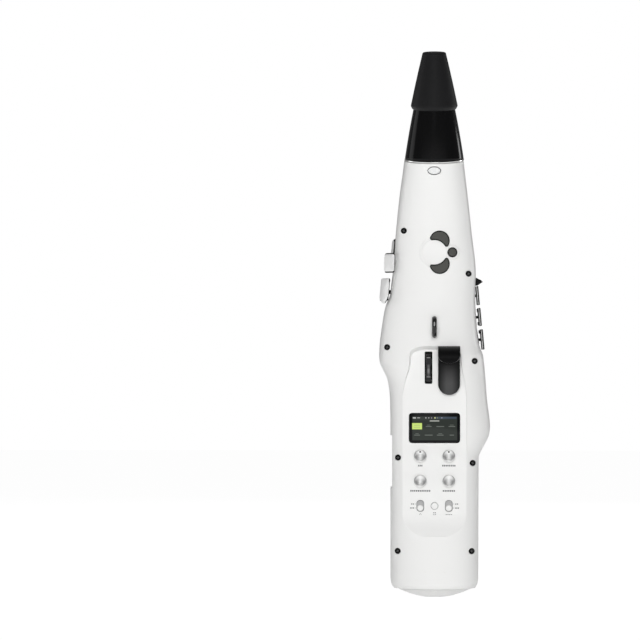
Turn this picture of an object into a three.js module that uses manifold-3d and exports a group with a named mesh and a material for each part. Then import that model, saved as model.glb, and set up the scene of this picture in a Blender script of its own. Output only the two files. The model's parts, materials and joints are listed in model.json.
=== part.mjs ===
// A sax-style digital wind controller: two shells, a neck with a capped mouthpiece, keys and controls.
// Millimetres. X runs to the player's right, -Y is the rear face with the thumb parts, Z runs up.
// The pieces are placed from the instrument's foot, and one outer group puts the strap ring at the origin.
import * as THREE from "three";
import { mergeVertices } from "three/addons/utils/BufferGeometryUtils.js";
import Module from "manifold-3d";

const wasm = await Module();
wasm.setup();

// Driving sizes of the body
const shellHeight = 456;
const bodyHalfWidth = 46.5;
const bodyHalfDepth = 35.5;
const sectionPower = 2.3;
const wall = 2.5;
const fitGap = 0.3;
const seamY = -2;
const cutOverrun = 30;
const sameSpot = 0.001;
const sectionSides = 26;
const roundSides = 12;
const stemSides = 8;
const socketSides = 6;
const beakSides = 17;
const arcSegments = 3;
const ovalSegments = 8;
const hookSegments = 5;
const strapTurns = 8;
const strapSteps = 20;
const airSteps = 14;

// Rows of the side outline: share of the height, left and right half-width as shares of bodyHalfWidth.
const outlineShares = [
  [0.0, 0.83, 0.82],
  [0.0208, 0.93, 0.92],
  [0.028, 0.973, 0.96],
  [0.037, 0.995, 0.98],
  [0.045, 1.0, 0.985],
  [0.32, 1.0, 1.0],
  [0.344, 1.0, 1.1],
  [0.373, 1.0, 1.235],
  [0.39, 1.0, 1.256],
  [0.454, 1.008, 1.19],
  [0.498, 1.06, 1.157],
  [0.524, 1.17, 1.137],
  [0.54, 1.24, 1.12],
  [0.556, 1.254, 1.1],
  [0.578, 1.245, 1.02],
  [0.62, 1.195, 0.955],
  [0.66, 1.13, 0.93],
  [0.675, 1.09, 0.925],
  [0.697, 1.0, 0.92],
  [0.743, 0.944, 0.938],
  [0.84, 0.871, 0.843],
  [0.923, 0.787, 0.755],
  [0.995, 0.69, 0.672],
  [1.06, 0.62, 0.6],
];

// Rows of the front and rear outline: share of the height, rear and front reach as shares of bodyHalfDepth.
const depthShares = [
  [0.0, 0.82, 0.81],
  [0.0208, 0.93, 0.92],
  [0.03, 0.98, 0.975],
  [0.042, 1.0, 1.0],
  [0.5, 1.0, 1.0],
  [0.57, 0.96, 0.96],
  [0.62, 0.91, 0.89],
  [0.743, 0.89, 0.73],
  [0.853, 0.93, 0.606],
  [0.923, 1.014, 0.52],
  [1.0, 1.127, 0.45],
  [1.06, 1.22, 0.38],
];

// Driving sizes of the neck and mouthpiece
const neckLean = THREE.MathUtils.degToRad(12.5);
const neckRise = 2.8;
const neckOvalShare = 0.88;
const ringThickness = 1.5;
const ringRadius = 31.2;
const barrelFootRadius = 30;
const barrelTopRadius = 21.4;
const barrelLength = 55;
const tenonRadius = 14.7;
const tenonLength = 14;
const barrelBore = 7;
const beakSocketRadius = 11.3;
const beakSocketDepth = 16;
const beakRadius = 13;
const beakTipRadius = 9;
const beakLength = 50;
const beakBore = 3.6;
const beakTipThickness = 4;
const reedWidth = 13;
const reedThickness = 2;
const reedLength = 38;
const capSkirtRadius = 24.5;
const capTopRadius = 12.5;
const capLength = 59.5;
const capWall = 2;
const capEdge = 2;
const capOverlap = 3;

// Driving sizes of the control panel on the rear face
const panelY = -27;
const panelHalfWidth = 33;
const panelTopShare = 0.57018;
const panelTop = panelTopShare * shellHeight;
const panelFootShare = 0.17544;
const panelFoot = panelFootShare * shellHeight;
const panelRampShare = 1.7;
const panelCornerRadius = 10;
const glassWidth = 53;
const glassHeight = 31;
const glassCorner = 3;
const glassProud = 0.3;
const glassZShare = 0.38925;
const glassZ = glassZShare * shellHeight;
const displayMargin = 1.5;
const knobRadius = 6.5;
const knobHeight = 6.2;
const knobColumnX = 14.9;
const knobUpperZShare = 0.32544;
const knobUpperZ = knobUpperZShare * shellHeight;
const knobLowerZShare = 0.2682;
const knobLowerZ = knobLowerZShare * shellHeight;
const shaftRadius = 3;
const shaftShare = 0.68;
const switchSlotWidth = 7.7;
const switchSlotHeight = 12;
const switchZShare = 0.21096;
const switchZ = switchZShare * shellHeight;
const sliderRadius = 3.2;
const sliderTravel = 4.4;
const sliderProud = 1.2;
const buttonRadius = 3.5;
const buttonTravel = 0.6;
const rockerX = -6.2;
const rockerZShare = 0.5274;
const rockerZ = rockerZShare * shellHeight;
const rockerSlotWidth = 7.4;
const rockerSlotHeight = 33;
const rockerFrameWall = 1;
const rockerFrameDepth = 8;
const rockerRise = 4.5;
const rockerWaist = 2.2;
const rockerPeakShare = 0.68;
const rockerPivotY = -24;
const boardY = -17;
const boardThickness = 1.6;
const boardHalfWidth = 26;
const boardFootShare = 0.17982;
const boardFoot = boardFootShare * shellHeight;
const boardTopShare = 0.45175;
const boardTop = boardTopShare * shellHeight;

// Driving sizes of the thumb parts
const hookX = 15.25;
const hookWidth = 22.9;
const hookFootShare = 0.4649;
const hookFoot = hookFootShare * shellHeight;
const hookTopShare = 0.56886;
const hookTop = hookTopShare * shellHeight;
const hookPlate = 3;
const hookReach = 28;
const hookBend = 15;
const hookDrop = 20;
const hookCorner = 7.5;
const dishZShare = 0.79386;
const dishZ = dishZShare * shellHeight;
const dishRadius = 14;
const dishDepth = 1.6;
const padDepth = 2;
const padProud = 0.2;
const octavePadX = 5.5;
const octavePadRise = 12.2;
const octavePadRadius = 10.4;
const thumbPadX = 18.8;
const thumbPadRadius = 5;
const thumbRimRadius = 7.8;
const thumbRimProud = 0.7;
const lensZShare = 0.98026;
const lensZ = lensZShare * shellHeight;
const lensHalfWidth = 7;
const lensHalfHeight = 4.2;
const strapZShare = 0.62061;
const strapZ = strapZShare * shellHeight;
const strapWire = 2.3;
const strapHalfSpan = 8.8;
const strapBendY = -43.2;
const strapAnchorInset = 1.8;

// Driving sizes of the case screws: side, share of the height, and inset from the body's side, top down
const screwRows = [
  [-1, 0.8421, 8.40],
  [1, 0.74342, 7.80],
  [-1, 0.57456, 8.36],
  [1, 0.54276, 9.82],
  [-1, 0.32127, 8.30],
  [1, 0.30877, 6.57],
  [-1, 0.10702, 7.90],
  [1, 0.10702, 7.26],
];
const screwHeadRadius = 2.7;
const screwHeadHeight = 2;
const screwShankRadius = 1.5;
const screwGrip = 8;
const recessRadius = 3.25;
const recessDepth = 5;
const bossRadius = 4.8;

// Driving sizes of the port panel on the left side
const portX = wall - bodyHalfWidth;
const portThickness = 2;
const portFromY = -13;
const portToY = 12;
const portFromZShare = 0.2522;
const portFromZ = portFromZShare * shellHeight;
const portToZShare = 0.3717;
const portToZ = portToZShare * shellHeight;
const jackY = -1.7;
const jackZShare = 0.34868;
const jackZ = jackZShare * shellHeight;
const jackNutRadius = 5.7;
const jackBore = 3.3;
const jackBodyDepth = 14;
const usbY = -8.9;
const usbZShare = 0.2851;
const usbZ = usbZShare * shellHeight;
const usbSlotHeight = 10.5;
const powerY = 2.6;
const powerZShare = 0.291;
const powerZ = powerZShare * shellHeight;
const powerSlotHeight = 5.7;
const socketSlotWidth = 3.4;
const socketDepth = 9;
const socketWall = 1;

// Driving sizes of the inner pieces
const mainBoardY = 14;
const mainBoardHalfWidth = 27;
const mainBoardNeckShare = 0.52;
const mainBoardFootShare = 0.13158;
const mainBoardFoot = mainBoardFootShare * shellHeight;
const mainBoardShoulderShare = 0.6579;
const mainBoardShoulder = mainBoardShoulderShare * shellHeight;
const mainBoardTopShare = 0.86623;
const mainBoardTop = mainBoardTopShare * shellHeight;
const keySwitchSize = 6;
const keySwitchHeight = 3.2;
const batteryWidth = 54;
const batteryDepth = 20;
const batteryShare = 0.1404;
const batteryTall = batteryShare * shellHeight;
const batteryOverlap = 17.5;
const batteryTop = mainBoardFoot + batteryOverlap;
const batteryFoot = batteryTop - batteryTall;
const sensorWidth = 18;
const sensorDepth = 10;
const sensorHeight = 14;
const airTubeRadius = 2.4;
const airTubeBore = 1.4;
const shellFootShare = 0.0208;
const shellFoot = shellFootShare * shellHeight;
const bottomCapThickness = 3;
const bottomCapSteps = 6;
const bottomCapShare = 0.92;
const bottomCapFlat = 0.9;

// Driving sizes of the keys
const keyTravel = 2;
const keyStemRadius = 2.2;
const keyThickness = 2.4;
const keyStandoff = 3;
const pearlRadius = 9.5;
const pearlHeight = 4;
const pearlCrownShare = 0.68;
const smallKeyShare = 0.68;
// Places given as shares of the body: X of its half width, Y of its half depth, heights of its height
function placeFromShares([x, height, ...rest]) {
  return [x * bodyHalfWidth, height * shellHeight, ...rest];
}

function palmKeyFromShares([foot, top, x, y, angle, width, lean, point, taper]) {
  return {
    foot: foot * shellHeight,
    top: top * shellHeight,
    x: x * bodyHalfWidth,
    y: y * bodyHalfDepth,
    angle,
    width: width * bodyHalfWidth,
    lean,
    point: point * bodyHalfWidth,
    taper: taper * bodyHalfWidth,
  };
}

const upperKeyShares = [
  [0.043, 0.83772, 1],
  [-0.129, 0.79825, smallKeyShare],
  [0.043, 0.75877, 1],
  [0.0645, 0.70614, 1],
];
const upperKeyPlaces = upperKeyShares.map(placeFromShares);
const lowerKeyShares = [
  [-0.043, 0.48684, 1],
  [-0.0645, 0.4364, 1],
  [-0.086, 0.38596, 1],
];
const lowerKeyPlaces = lowerKeyShares.map(placeFromShares);
const pinkyWidth = 21;
const pinkyHeight = 13;
const leftPinkyShares = [
  [-0.7957, 0.58772],
  [-0.7957, 0.55263],
];
const leftPinkyPlaces = leftPinkyShares.map(placeFromShares);
const rightPinkyShares = [
  [0.7527, 0.41886],
  [0.7527, 0.38377],
];
const rightPinkyPlaces = rightPinkyShares.map(placeFromShares);

// Shares for each side key: foot, top, X. For each palm key: foot, top, X, Y, facing angle in degrees,
// width, lean in degrees, point of its foot, taper of its top.
const sideTravel = 1.5;
const sideKeyAngle = 94;
const sideKeyWidth = 15;
const sideKeyLean = -5;
const sideKeyY = 4;
const sideKeyShares = [
  [0.67215, 0.716, 0.9505],
  [0.6239, 0.66557, 0.9978],
  [0.56908, 0.61623, 1.0538],
];
const sideKeyRows = sideKeyShares.map(([foot, top, x]) => {
  return [foot * shellHeight, top * shellHeight, x * bodyHalfWidth];
});
const palmKeyShares = [
  [0.75877, 0.82675, -0.9118, -0.0563, -75, 0.215, -6, 0, 0.0645],
  [0.74561, 0.79167, -1.0022, -0.493, -30, 0.2602, -3, 0, 0.0258],
  [0.67325, 0.734, -1.1075, -0.1662, -57, 0.3247, -6, 0.129, 0.0258],
];
const palmKeyRows = palmKeyShares.map(palmKeyFromShares);
const wedgeFootShare = 0.7193;
const wedgeFoot = wedgeFootShare * shellHeight;
const wedgeTopShare = 0.73904;
const wedgeTop = wedgeTopShare * shellHeight;
const wedgeTipShare = 1.075;
const wedgeTipX = wedgeTipShare * bodyHalfWidth;
const wedgeHalfWidth = 4;
const palmStem = 7.5;
const sideStem = 8;
const bracketHalfWidth = 4.4;

// Colours of the finishes
const whitePlastic = new THREE.MeshStandardMaterial({ color: 0xe6e6e4, roughness: 0.32 });
const blackGloss = new THREE.MeshStandardMaterial({ color: 0x0b0b0c, roughness: 0.12 });
const blackSatin = new THREE.MeshStandardMaterial({ color: 0x191919, roughness: 0.45 });
const greyPad = new THREE.MeshStandardMaterial({ color: 0x3d3d3f, roughness: 0.5 });
const chrome = new THREE.MeshStandardMaterial({ color: 0xd8d8d6, roughness: 0.15, metalness: 1 });
const aluminium = new THREE.MeshStandardMaterial({ color: 0xc4c4c2, roughness: 0.28, metalness: 1 });
const darkSteel = new THREE.MeshStandardMaterial({ color: 0x3a3a3b, roughness: 0.3, metalness: 1 });
const glassBlack = new THREE.MeshStandardMaterial({ color: 0x050608, roughness: 0.04 });
const boardGreen = new THREE.MeshStandardMaterial({ color: 0x14502d, roughness: 0.5 });
const batteryBlue = new THREE.MeshStandardMaterial({ color: 0x2b4c86, roughness: 0.5 });
const reedCane = new THREE.MeshStandardMaterial({ color: 0x26241f, roughness: 0.5 });
const siliconeClear = new THREE.MeshStandardMaterial({ color: 0xcfd2d0, roughness: 0.4 });

// Solids

function solid(geometry) {
  const bare = geometry.clone();
  bare.deleteAttribute("normal");
  bare.deleteAttribute("uv");
  const merged = mergeVertices(bare);
  const vertProperties = new Float32Array(merged.attributes.position.array);
  const triVerts = new Uint32Array(merged.index.array);
  return new wasm.Manifold(new wasm.Mesh({ numProp: 3, vertProperties, triVerts }));
}

function toGeometry(body) {
  const mesh = body.getMesh();
  const geometry = new THREE.BufferGeometry();
  geometry.setAttribute("position", new THREE.BufferAttribute(mesh.vertProperties, 3));
  geometry.setIndex(new THREE.BufferAttribute(mesh.triVerts, 1));
  const flat = geometry.toNonIndexed();
  flat.computeVertexNormals();
  return flat;
}

// A box from its two corners
function box(x0, x1, y0, y1, z0, z1) {
  const geometry = new THREE.BoxGeometry(x1 - x0, y1 - y0, z1 - z0);
  geometry.translate((x0 + x1) / 2, (y0 + y1) / 2, (z0 + z1) / 2);
  return solid(geometry);
}

// A rod along Y between two places
function rodY(radius, x, z, y0, y1, sides = roundSides) {
  const geometry = new THREE.CylinderGeometry(radius, radius, y1 - y0, sides);
  geometry.translate(0, (y0 + y1) / 2, 0);
  geometry.translate(x, 0, z);
  return solid(geometry);
}

// A rod along X between two places
function rodX(radius, y, z, x0, x1, sides = roundSides) {
  const geometry = new THREE.CylinderGeometry(radius, radius, x1 - x0, sides);
  geometry.rotateZ(Math.PI / 2);
  geometry.translate((x0 + x1) / 2, y, z);
  return solid(geometry);
}

// The points of an outline without the doubled ones where a line meets an arc
function cleanShape(shape, curveSegments) {
  const points = shape.getPoints(curveSegments);
  const kept = points.filter((point, order) => point.distanceTo(points.at(order - 1)) > sameSpot);
  return new THREE.Shape(kept);
}

// A shape drawn in X and Z, run along Y between two places
function prismY(shape, y0, y1, curveSegments = arcSegments) {
  const outline = cleanShape(shape, curveSegments);
  const geometry = new THREE.ExtrudeGeometry(outline, { depth: y1 - y0, bevelEnabled: false });
  geometry.rotateX(Math.PI / 2);
  geometry.translate(0, y1, 0);
  return solid(geometry);
}

// A shape drawn in Y and Z, run along X between two places
function prismX(shape, x0, x1, curveSegments = arcSegments) {
  const outline = cleanShape(shape, curveSegments);
  const geometry = new THREE.ExtrudeGeometry(outline, { depth: x1 - x0, bevelEnabled: false });
  geometry.rotateY(Math.PI / 2);
  geometry.rotateX(Math.PI / 2);
  geometry.translate(x0, 0, 0);
  return solid(geometry);
}

function roundedRectangle(x0, x1, z0, z1, radius) {
  const shape = new THREE.Shape();
  const quarter = Math.PI / 2;
  shape.moveTo(x0 + radius, z0);
  shape.lineTo(x1 - radius, z0);
  shape.absarc(x1 - radius, z0 + radius, radius, -quarter, 0);
  shape.lineTo(x1, z1 - radius);
  shape.absarc(x1 - radius, z1 - radius, radius, 0, quarter);
  shape.lineTo(x0 + radius, z1);
  shape.absarc(x0 + radius, z1 - radius, radius, quarter, 2 * quarter);
  shape.lineTo(x0, z0 + radius);
  shape.absarc(x0 + radius, z0 + radius, radius, 2 * quarter, 3 * quarter);
  return shape;
}

// A turned piece about Z: rows of radius and height, closed on the axis
function turned(profile, sides = sectionSides) {
  const points = profile.map(([radius, height]) => new THREE.Vector2(radius, height));
  const geometry = new THREE.LatheGeometry(points, sides);
  geometry.rotateX(Math.PI / 2);
  return solid(geometry);
}

// Body outline

function rowAt(rows, heightShare) {
  const last = rows.length - 1;
  let index = 0;
  while (index < last - 1 && rows[index + 1][0] < heightShare) index += 1;
  const [low, high] = [rows[index], rows[index + 1]];
  const share = (heightShare - low[0]) / (high[0] - low[0]);
  return low.map((value, column) => value + (high[column] - value) * share);
}

// Half-widths and front and rear reach of the body at a height, grown by an offset
function sectionAt(height, offset) {
  const heightShare = height / shellHeight;
  const [, leftShare, rightShare] = rowAt(outlineShares, heightShare);
  const [, rearShare, frontShare] = rowAt(depthShares, heightShare);
  const rear = -rearShare * bodyHalfDepth - offset;
  const front = frontShare * bodyHalfDepth + offset;
  const left = leftShare * bodyHalfWidth + offset;
  const right = rightShare * bodyHalfWidth + offset;
  return { left, right, middle: (rear + front) / 2, reach: (front - rear) / 2 };
}

function bodySolid(offset, footHeight, topHeight) {
  const rowHeights = outlineShares.map(([share]) => share * shellHeight);
  const inside = rowHeights.filter((height) => height > footHeight && height < topHeight);
  const heights = [footHeight, ...inside, topHeight];
  return stackSolid(heights.map((height) => ({ ...sectionAt(height, offset), height })));
}

// A closed solid through sections listed from the foot up
function stackSolid(sections) {
  const position = [];
  const index = [];
  for (const section of sections) {
    for (let side = 0; side < sectionSides; side += 1) {
      const angle = (2 * Math.PI * side) / sectionSides;
      const along = Math.sign(Math.cos(angle)) * Math.abs(Math.cos(angle)) ** (2 / sectionPower);
      const across = Math.sign(Math.sin(angle)) * Math.abs(Math.sin(angle)) ** (2 / sectionPower);
      position.push(along * (along < 0 ? section.left : section.right));
      position.push(section.middle + across * section.reach);
      position.push(section.height);
    }
  }
  const rings = sections.length;
  for (let ring = 0; ring < rings - 1; ring += 1) {
    for (let side = 0; side < sectionSides; side += 1) {
      const next = (side + 1) % sectionSides;
      const [a, b] = [ring * sectionSides + side, ring * sectionSides + next];
      const [c, d] = [a + sectionSides, b + sectionSides];
      index.push(a, b, d, a, d, c);
    }
  }
  const lastRing = (rings - 1) * sectionSides;
  for (let side = 1; side < sectionSides - 1; side += 1) {
    index.push(0, side + 1, side);
    index.push(lastRing, lastRing + side, lastRing + side + 1);
  }
  const geometry = new THREE.BufferGeometry();
  geometry.setAttribute("position", new THREE.BufferAttribute(new Float32Array(position), 3));
  geometry.setIndex(index);
  return solid(geometry);
}

// Place of the body's surface at an X and a height: the rear face, or the front face when toFront is true
function surfaceY(x, height, toFront = false) {
  const section = sectionAt(height, 0);
  const halfWidth = x < 0 ? section.left : section.right;
  const reachShare = (1 - (Math.abs(x) / halfWidth) ** sectionPower) ** (1 / sectionPower);
  return section.middle + (toFront ? 1 : -1) * section.reach * reachShare;
}

// The neck's own frame: its foot is the middle of the body's leaning top face
const neckFoot = shellHeight + neckRise;
const topSection = sectionAt(neckFoot, 0);
const neckFrame = new THREE.Matrix4();
neckFrame.makeRotationX(neckLean);
neckFrame.setPosition(0, topSection.middle, neckFoot);

function inNeckFrame(body) {
  return body.transform(neckFrame.toArray());
}

// Shells

const reachY = bodyHalfDepth + cutOverrun;
const reachX = 2 * bodyHalfWidth;
const strapSection = sectionAt(strapZ, -wall);
const strapAnchorY = strapSection.middle - strapSection.reach + strapAnchorInset;

const outerBody = bodySolid(0, shellFoot, outlineShares.at(-1)[0] * shellHeight);
const innerTop = shellHeight - cutOverrun / 2;
const innerBody = bodySolid(-wall, -cutOverrun, innerTop);
const grownBody = bodySolid(thumbRimProud, 0, shellHeight);
const padSkin = bodySolid(padProud, 0, shellHeight);
const padCore = bodySolid(-padDepth, 0, shellHeight);
const aboveTop = inNeckFrame(box(-reachX, reachX, -reachX, reachX, 0, reachX));

function panelCutter(floorY, edgeGap) {
  const shape = new THREE.Shape();
  const run = (panelCornerRadius + cutOverrun) * panelRampShare;
  const top = panelTop + edgeGap;
  shape.moveTo(floorY, panelFoot);
  shape.lineTo(floorY, top);
  shape.lineTo(-reachY, top);
  shape.lineTo(-reachY, panelFoot - run);
  const half = panelHalfWidth + edgeGap;
  const face = roundedRectangle(-half, half, panelFoot - run, top, panelCornerRadius);
  return prismX(shape, -half, half).intersect(prismY(face, -reachY, floorY));
}

const panelCut = panelCutter(panelY, 0);
const panelCutInner = panelCutter(panelY + wall, wall);
const outer = outerBody.subtract(aboveTop).subtract(panelCut);
const hollow = innerBody.subtract(panelCutInner);

// Bosses that take the case screws, and the recess that hides each head
function screwFeatures([x, height]) {
  const face = surfaceY(x, height);
  const seat = face + recessDepth;
  const column = rodY(bossRadius, x, height, -reachY, reachY).intersect(outer);
  const recess = rodY(recessRadius, x, height, -reachY, seat);
  const passage = rodY(screwShankRadius + fitGap, x, height, seat - wall, seamY + screwGrip + fitGap);
  return { seat, column, recess, passage };
}
const screwPlaces = screwRows.map(([side, share, inset]) => {
  const { left, right } = sectionAt(share * shellHeight, 0);
  return [side * ((side < 0 ? left : right) - inset), share * shellHeight];
});
const screws = screwPlaces.map(screwFeatures);

// Round and oval openings in the rear wall
function ovalShape(x, height, halfWidth, halfHeight) {
  const shape = new THREE.Shape();
  shape.absellipse(x, height, halfWidth, halfHeight, 0, 2 * Math.PI);
  return shape;
}

function roundPrism(x, height, radius, backY) {
  return prismY(ovalShape(x, height, radius, radius), -reachY, backY, ovalSegments);
}

function lensPrism(grow) {
  const shape = ovalShape(0, lensZ, lensHalfWidth + grow, lensHalfHeight + grow);
  return prismY(shape, -reachY, topSection.middle, ovalSegments);
}

function crescent(direction, grow) {
  const pad = roundPrism(octavePadX, dishZ + direction * octavePadRise, octavePadRadius + grow, seamY);
  return pad.subtract(roundPrism(0, dishZ, dishRadius - grow, seamY));
}

const dishFace = surfaceY(0, dishZ);
const dishChord = surfaceY(dishRadius, dishZ);
const dishBall = (dishRadius ** 2 + dishDepth ** 2) / (2 * dishDepth);
const dishSphere = new THREE.SphereGeometry(dishBall, 2 * sectionSides, sectionSides);
dishSphere.rotateX(Math.PI / 2);
dishSphere.translate(0, dishChord + dishDepth - dishBall, dishZ);
const dishCutter = solid(dishSphere).intersect(roundPrism(0, dishZ, dishRadius, seamY));
const dishSupport = ovalShape(0, dishZ, dishRadius + wall, dishRadius + wall);
const dishBack = dishChord + dishDepth + wall;
const dishStock = prismY(dishSupport, dishFace - fitGap, dishBack, ovalSegments);
const dishBacking = dishStock.intersect(outerBody);
const rimRing = rodY(thumbRimRadius, thumbPadX, dishZ, -reachY, seamY).intersect(grownBody);

const padHoles = [crescent(1, fitGap), crescent(-1, fitGap)];
padHoles.push(rodY(thumbPadRadius + fitGap, thumbPadX, dishZ, -reachY, seamY));
padHoles.push(lensPrism(fitGap));
for (const side of [-1, 1]) {
  const legZ = strapZ + side * strapHalfSpan;
  padHoles.push(rodY(strapWire + fitGap, 0, legZ, -reachY, strapAnchorY + fitGap));
}

// Openings in the control panel
const shaftPlaces = [
  [-knobColumnX, knobUpperZ],
  [knobColumnX, knobUpperZ],
  [-knobColumnX, knobLowerZ],
  [knobColumnX, knobLowerZ],
];
const panelHoles = shaftPlaces.map(([x, height]) =>
  rodY(shaftRadius + 2 * fitGap, x, height, -reachY, seamY));
panelHoles.push(rodY(buttonRadius + fitGap, 0, switchZ, -reachY, seamY));
for (const side of [-1, 1]) {
  const [x0, x1] = [side * knobColumnX - switchSlotWidth / 2, side * knobColumnX + switchSlotWidth / 2];
  const [z0, z1] = [switchZ - switchSlotHeight / 2, switchZ + switchSlotHeight / 2];
  const slot = roundedRectangle(x0, x1, z0, z1, switchSlotWidth / 2 - fitGap);
  panelHoles.push(prismY(slot, -reachY, seamY));
}

function centredBox(x, height, width, tall, y0, y1) {
  return box(x - width / 2, x + width / 2, y0, y1, height - tall / 2, height + tall / 2);
}

function centredPlate(x, height, width, tall, corner, y0, y1) {
  const shape = roundedRectangle(x - width / 2, x + width / 2, height - tall / 2, height + tall / 2, corner);
  return prismY(shape, y0, y1);
}

const slack = 2 * fitGap;
const glassWide = glassWidth + slack;
const glassTall = glassHeight + slack;
panelHoles.push(centredPlate(0, glassZ, glassWide, glassTall, glassCorner, -reachY, seamY));
const rockerWide = rockerSlotWidth + slack;
const rockerTall = rockerSlotHeight + slack;
panelHoles.push(centredPlate(rockerX, rockerZ, rockerWide, rockerTall, rockerFrameWall, -reachY, seamY));

// Window for the port panel, in both shells
const portWindow = box(-reachX, portX + portThickness + wall, portFromY, portToY, portFromZ, portToZ);

// A key's own frame: local -Y faces outward from the body, local Z runs up the key
function keyFrame(x, y, height, angle, lean) {
  const frame = new THREE.Matrix4().makeRotationZ(angle);
  frame.multiply(new THREE.Matrix4().makeRotationX(lean));
  frame.setPosition(x, y, height);
  return frame;
}

function keyStem(length, grow) {
  return rodY(keyStemRadius + grow, 0, 0, -keyThickness / 2, length, stemSides);
}

// A flat key with its stem: pointed at the foot when point is above zero
function flatKey({ width, tall, point, taper, stemLength }) {
  const shape = new THREE.Shape();
  const half = width / 2;
  const [foot, top] = [-tall / 2, tall / 2];
  shape.moveTo(-half, foot + point);
  shape.lineTo(-half / 2, foot + point / 4);
  shape.lineTo(0, foot);
  shape.lineTo(half / 2, foot + point / 4);
  shape.lineTo(half, foot + point);
  shape.lineTo(half, top - taper);
  shape.lineTo(half - taper, top);
  shape.lineTo(-half + taper, top);
  shape.lineTo(-half, top - taper);
  const plate = prismY(shape, -keyThickness, 0);
  return plate.add(keyStem(stemLength, 0));
}

function sideKey({ foot, top, x, y, angle, lean, width, point, taper, stemLength }) {
  const tall = top - foot;
  const radians = THREE.MathUtils.degToRad;
  const frame = keyFrame(x, y, (foot + top) / 2, radians(angle), radians(lean));
  const half = width / 2 + sideTravel;
  const halfTall = tall / 2 + sideTravel;
  const pocket = box(-half, half, -cutOverrun, sideTravel + fitGap, -halfTall, halfTall);
  const body = flatKey({ width, tall, point, taper, stemLength });
  return { frame, body, stemLength, pocket: pocket.transform(frame.toArray()) };
}

const palmKeys = palmKeyRows.map((row) => sideKey({ ...row, stemLength: palmStem }));
const sideKeys = sideKeyRows.map(([foot, top, x]) => sideKey({
  foot,
  top,
  x,
  y: sideKeyY,
  angle: sideKeyAngle,
  lean: sideKeyLean,
  width: sideKeyWidth,
  point: 0,
  taper: keyThickness / 2,
  stemLength: sideStem,
}));
const keyPockets = wasm.Manifold.union([...palmKeys, ...sideKeys].map(({ pocket }) => pocket));

// The bracket that guides each row of side keys fills a slot in the shell's wall
function wallPatch(frames, halfWidth, grow) {
  const skin = bodySolid(padProud, 0, shellHeight).subtract(bodySolid(-wall - padDepth, 0, shellHeight));
  const size = 2 * (halfWidth + grow);
  const pieces = frames.map((frame) =>
    centredBox(0, 0, size, size, -keyStandoff, cutOverrun / 2).transform(frame.toArray()));
  const joined = wasm.Manifold.hull(pieces);
  return joined.intersect(skin);
}

const wedgeMiddle = (wedgeFoot + wedgeTop) / 2;
const wedgeX = sideKeyRows[0][2];
const wedgeFrame = keyFrame(wedgeX, sideKeyY, wedgeMiddle, THREE.MathUtils.degToRad(sideKeyAngle), 0);
const sideFrames = [wedgeFrame, ...sideKeys.map(({ frame }) => frame)];
const palmFrames = palmKeys.map(({ frame }) => frame);
const sideBracketBlank = wallPatch(sideFrames, bracketHalfWidth, 0);
const sideBracketSlot = wallPatch(sideFrames, bracketHalfWidth, fitGap);
const palmBracketBlank = wallPatch(palmFrames, bracketHalfWidth, 0);
const palmBracketSlot = wallPatch(palmFrames, bracketHalfWidth, fitGap);

function stemHoles(keys) {
  const length = cutOverrun + palmStem;
  const holes = keys.map(({ frame }) => keyStem(length, fitGap).transform(frame.toArray()));
  return wasm.Manifold.union(holes);
}

// The black wedge that ends the side bracket above the top key
const wedgeShape = new THREE.Shape();
const wedgeRootX = sectionAt(wedgeMiddle, -wall).right;
wedgeShape.moveTo(wedgeRootX, wedgeFoot);
wedgeShape.lineTo(wedgeTipX, wedgeMiddle);
wedgeShape.lineTo(wedgeRootX, wedgeTop);
const wedge = prismY(wedgeShape, sideKeyY - wedgeHalfWidth, sideKeyY + wedgeHalfWidth);
const wedgeSlotShape = roundedRectangle(wedgeRootX, wedgeTipX, wedgeFoot - fitGap, wedgeTop + fitGap, fitGap);
const wedgeSide = wedgeHalfWidth + fitGap;
const wedgeSlot = prismY(wedgeSlotShape, sideKeyY - wedgeSide, sideKeyY + wedgeSide);

const sideBracket = sideBracketBlank.subtract(keyPockets).add(wedge).subtract(stemHoles(sideKeys));
const palmBracket = palmBracketBlank.subtract(keyPockets).subtract(stemHoles(palmKeys));

// Front keys: round ones and flat ones, each with a stem down to its switch on the main board
const switchTopY = mainBoardY + boardThickness + keySwitchHeight;
const roundKeyPlaces = [...upperKeyPlaces, ...lowerKeyPlaces];
const pinkyPlaces = [...leftPinkyPlaces, ...rightPinkyPlaces];

function frontKeyFoot(x, height) {
  return surfaceY(x, height, true) + keyStandoff;
}

function frontStem(x, height, foot) {
  const head = foot + keyThickness / 2;
  return rodY(keyStemRadius, x, height, switchTopY + keyTravel + fitGap, head, stemSides);
}

function roundKey([x, height, sizeShare]) {
  const foot = frontKeyFoot(x, height);
  const radius = pearlRadius * sizeShare;
  const profile = [
    [0, 0],
    [radius, 0],
    [radius, pearlHeight / 2],
    [radius - pearlHeight / 4, pearlHeight],
    [0, pearlHeight * pearlCrownShare],
  ];
  const head = turned(profile, roundSides).rotate([-90, 0, 0]).translate([x, foot, height]);
  return head.add(frontStem(x, height, foot));
}

function pinkyKey([x, height]) {
  const innerX = x - (Math.sign(x) * pinkyWidth) / 2;
  const foot = frontKeyFoot(innerX, height);
  const plate = centredPlate(x, height, pinkyWidth, pinkyHeight, keyThickness, foot, foot + keyThickness);
  return plate.add(frontStem(x, height, foot));
}

const frontHoles = [...roundKeyPlaces, ...pinkyPlaces].map(([x, height]) =>
  rodY(keyStemRadius + fitGap, x, height, seamY, reachY, stemSides));

// Rear and front shell
const neckHole = inNeckFrame(turned([
  [0, -cutOverrun],
  [tenonRadius + 2 * fitGap, -cutOverrun],
  [tenonRadius + 2 * fitGap, cutOverrun],
  [0, cutOverrun],
]));

function halfSpace(fromY, toY) {
  return box(-reachX, reachX, fromY, toY, -cutOverrun, shellHeight + cutOverrun);
}

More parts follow.
